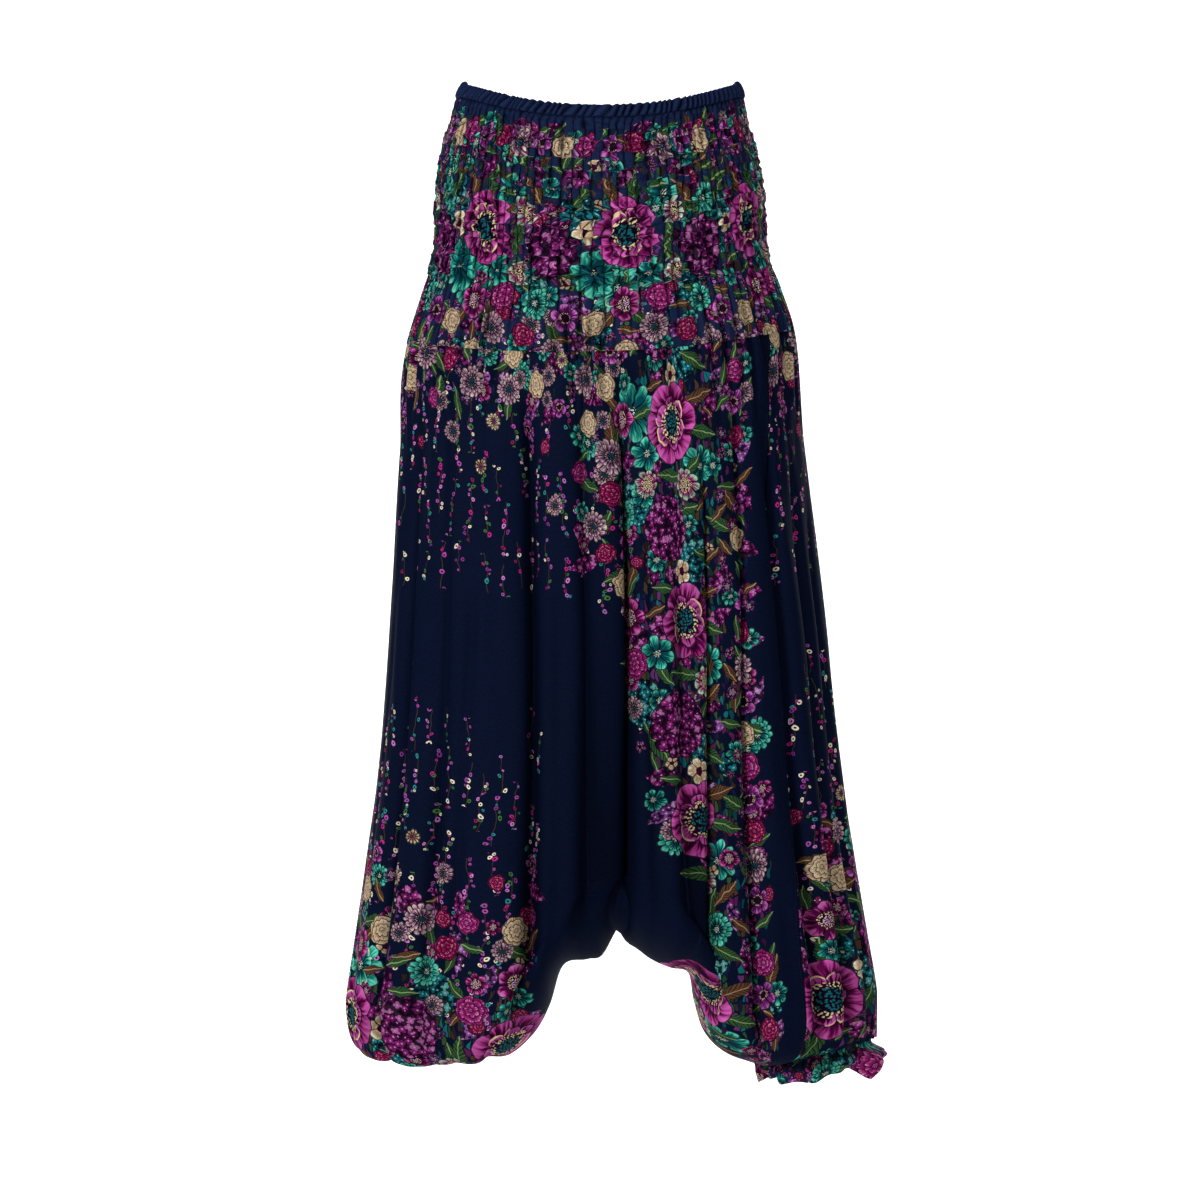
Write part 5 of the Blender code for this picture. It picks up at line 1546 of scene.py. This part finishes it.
thread = polyester_thread()
stitches("casing_stitching", [yoke_row(CASING_ROW)], STITCH_PITCH)
last_row = int(round((CASING_LEVEL - SHIRR_LEVEL) / SHIRR_PITCH))
stitches("shirring_stitching", [yoke_row(i * SHIRR_PITCH) for i in range(1, last_row + 1)],
         SHIRR_STITCH_PITCH)
stitches("side_seam_stitching", [seam_row(True, -SEAM_ROW), seam_row(False, SEAM_ROW)], STITCH_PITCH)
stitches("ankle_stitching", [cuff_row(RIGHT_ANKLE, RIGHT_CUFF), cuff_row(LEFT_ANKLE, LEFT_CUFF)],
         STITCH_PITCH)


# ---- Studio ----
# A sweep of matt white paper under and behind the hanging garment, which gives a plain pale ground
# with no line where floor and background meet.  Large soft boxes light it from all round.
FLOOR_Z = -1.30
SWEEP_BACK, SWEEP_FRONT, SWEEP_TOP = 6.6, -18, 7
SWEEP_RADIUS = 2.0
SWEEP_HALF_WIDTH = 16
SWEEP_STEPS = 16


def sweep_of_paper():
    """The paper from its front edge over the floor, up the curve and up the back."""
    mesh = bmesh.new()
    profile = [Vector((0, SWEEP_FRONT, FLOOR_Z)), Vector((0, SWEEP_BACK - SWEEP_RADIUS, FLOOR_Z))]
    for i in range(1, SWEEP_STEPS + 1):
        a = i / SWEEP_STEPS * math.pi / 2
        profile.append(Vector((0, SWEEP_BACK - SWEEP_RADIUS + SWEEP_RADIUS * math.sin(a),
                               FLOOR_Z + SWEEP_RADIUS * (1 - math.cos(a)))))
    profile.append(Vector((0, SWEEP_BACK, SWEEP_TOP)))
    verts = [mesh.verts.new(p - Vector((SWEEP_HALF_WIDTH, 0, 0))) for p in profile]
    edges = [mesh.edges.new(pair) for pair in zip(verts, verts[1:])]
    made = bmesh.ops.extrude_edge_only(mesh, edges=edges)
    far_side = [part for part in made["geom"] if isinstance(part, bmesh.types.BMVert)]
    bmesh.ops.translate(mesh, vec=(2 * SWEEP_HALF_WIDTH, 0, 0), verts=far_side)
    data = bpy.data.meshes.new("paper_sweep")
    mesh.to_mesh(data)
    mesh.free()
    data.shade_smooth()
    sweep = bpy.data.objects.new("paper_sweep", data)
    bpy.context.scene.collection.objects.link(sweep)
    return sweep


sweep = sweep_of_paper()
paper = bpy.data.materials.new("white_paper")
paper.use_nodes = True
shader = paper.node_tree.nodes["Principled BSDF"]
shader.inputs["Base Color"].default_value = linear("#f4f4f2")
shader.inputs["Roughness"].default_value = 0.9
sweep.data.materials.append(paper)

world = bpy.data.worlds.new("studio")
bpy.context.scene.world = world
world.use_nodes = True
background = world.node_tree.nodes["Background"]
background.inputs["Color"].default_value = linear("#ffffff")
background.inputs["Strength"].default_value = 0.08

LIGHT_COLUMNS = ("name", "place", "aim", "size", "watts")
LIGHTS = (
    ("key_box", (-2.4, -2.8, 0.9), (0, 0, -0.5), 0.7, 92),
    ("fill_box", (1.3, -3.4, 0.1), (0, 0, -0.55), 0.9, 14),
    ("right_box", (2.6, -1.3, 0.0), (0, 0, -0.5), 0.6, 10),
    ("top_box", (0.0, -0.9, 1.9), (0, 0, -0.5), 1.0, 9),
    ("left_background", (-3.0, 3.4, 1.2), (0.8, 6.4, -0.7), 1.6, 200),
    ("right_background", (3.0, 3.4, 1.2), (-0.8, 6.4, -0.7), 1.6, 200),
    ("back_box", (2.6, 3.0, 0.9), (0, 0, -0.5), 0.8, 45),
)
for row in LIGHTS:
    light = dict(zip(LIGHT_COLUMNS, row))
    data = bpy.data.lights.new(light["name"], "AREA")
    data.size, data.energy = light["size"], light["watts"]
    lamp = bpy.data.objects.new(light["name"], data)
    lamp.location = light["place"]
    aim = Vector(light["aim"]) - Vector(light["place"])
    lamp.rotation_euler = aim.to_track_quat("-Z", "Y").to_euler()
    bpy.context.scene.collection.objects.link(lamp)

# The camera stands level with the middle of the garment, square to its front.
CAMERA_AWAY = 4.5
CAMERA_HEIGHT = -0.505
FIELD_WIDTH = 1.2            # width of the view at the garment
SENSOR = 36                  # in millimetres
camera_data = bpy.data.cameras.new("camera")
camera_data.sensor_width = SENSOR
camera_data.lens = SENSOR * CAMERA_AWAY / FIELD_WIDTH
camera = bpy.data.objects.new("camera", camera_data)
camera.location = (0, -CAMERA_AWAY, CAMERA_HEIGHT)
camera.rotation_euler = (math.pi / 2, 0, 0)
bpy.context.scene.collection.objects.link(camera)
bpy.context.scene.camera = camera
bpy.context.scene.view_settings.view_transform = "Standard"
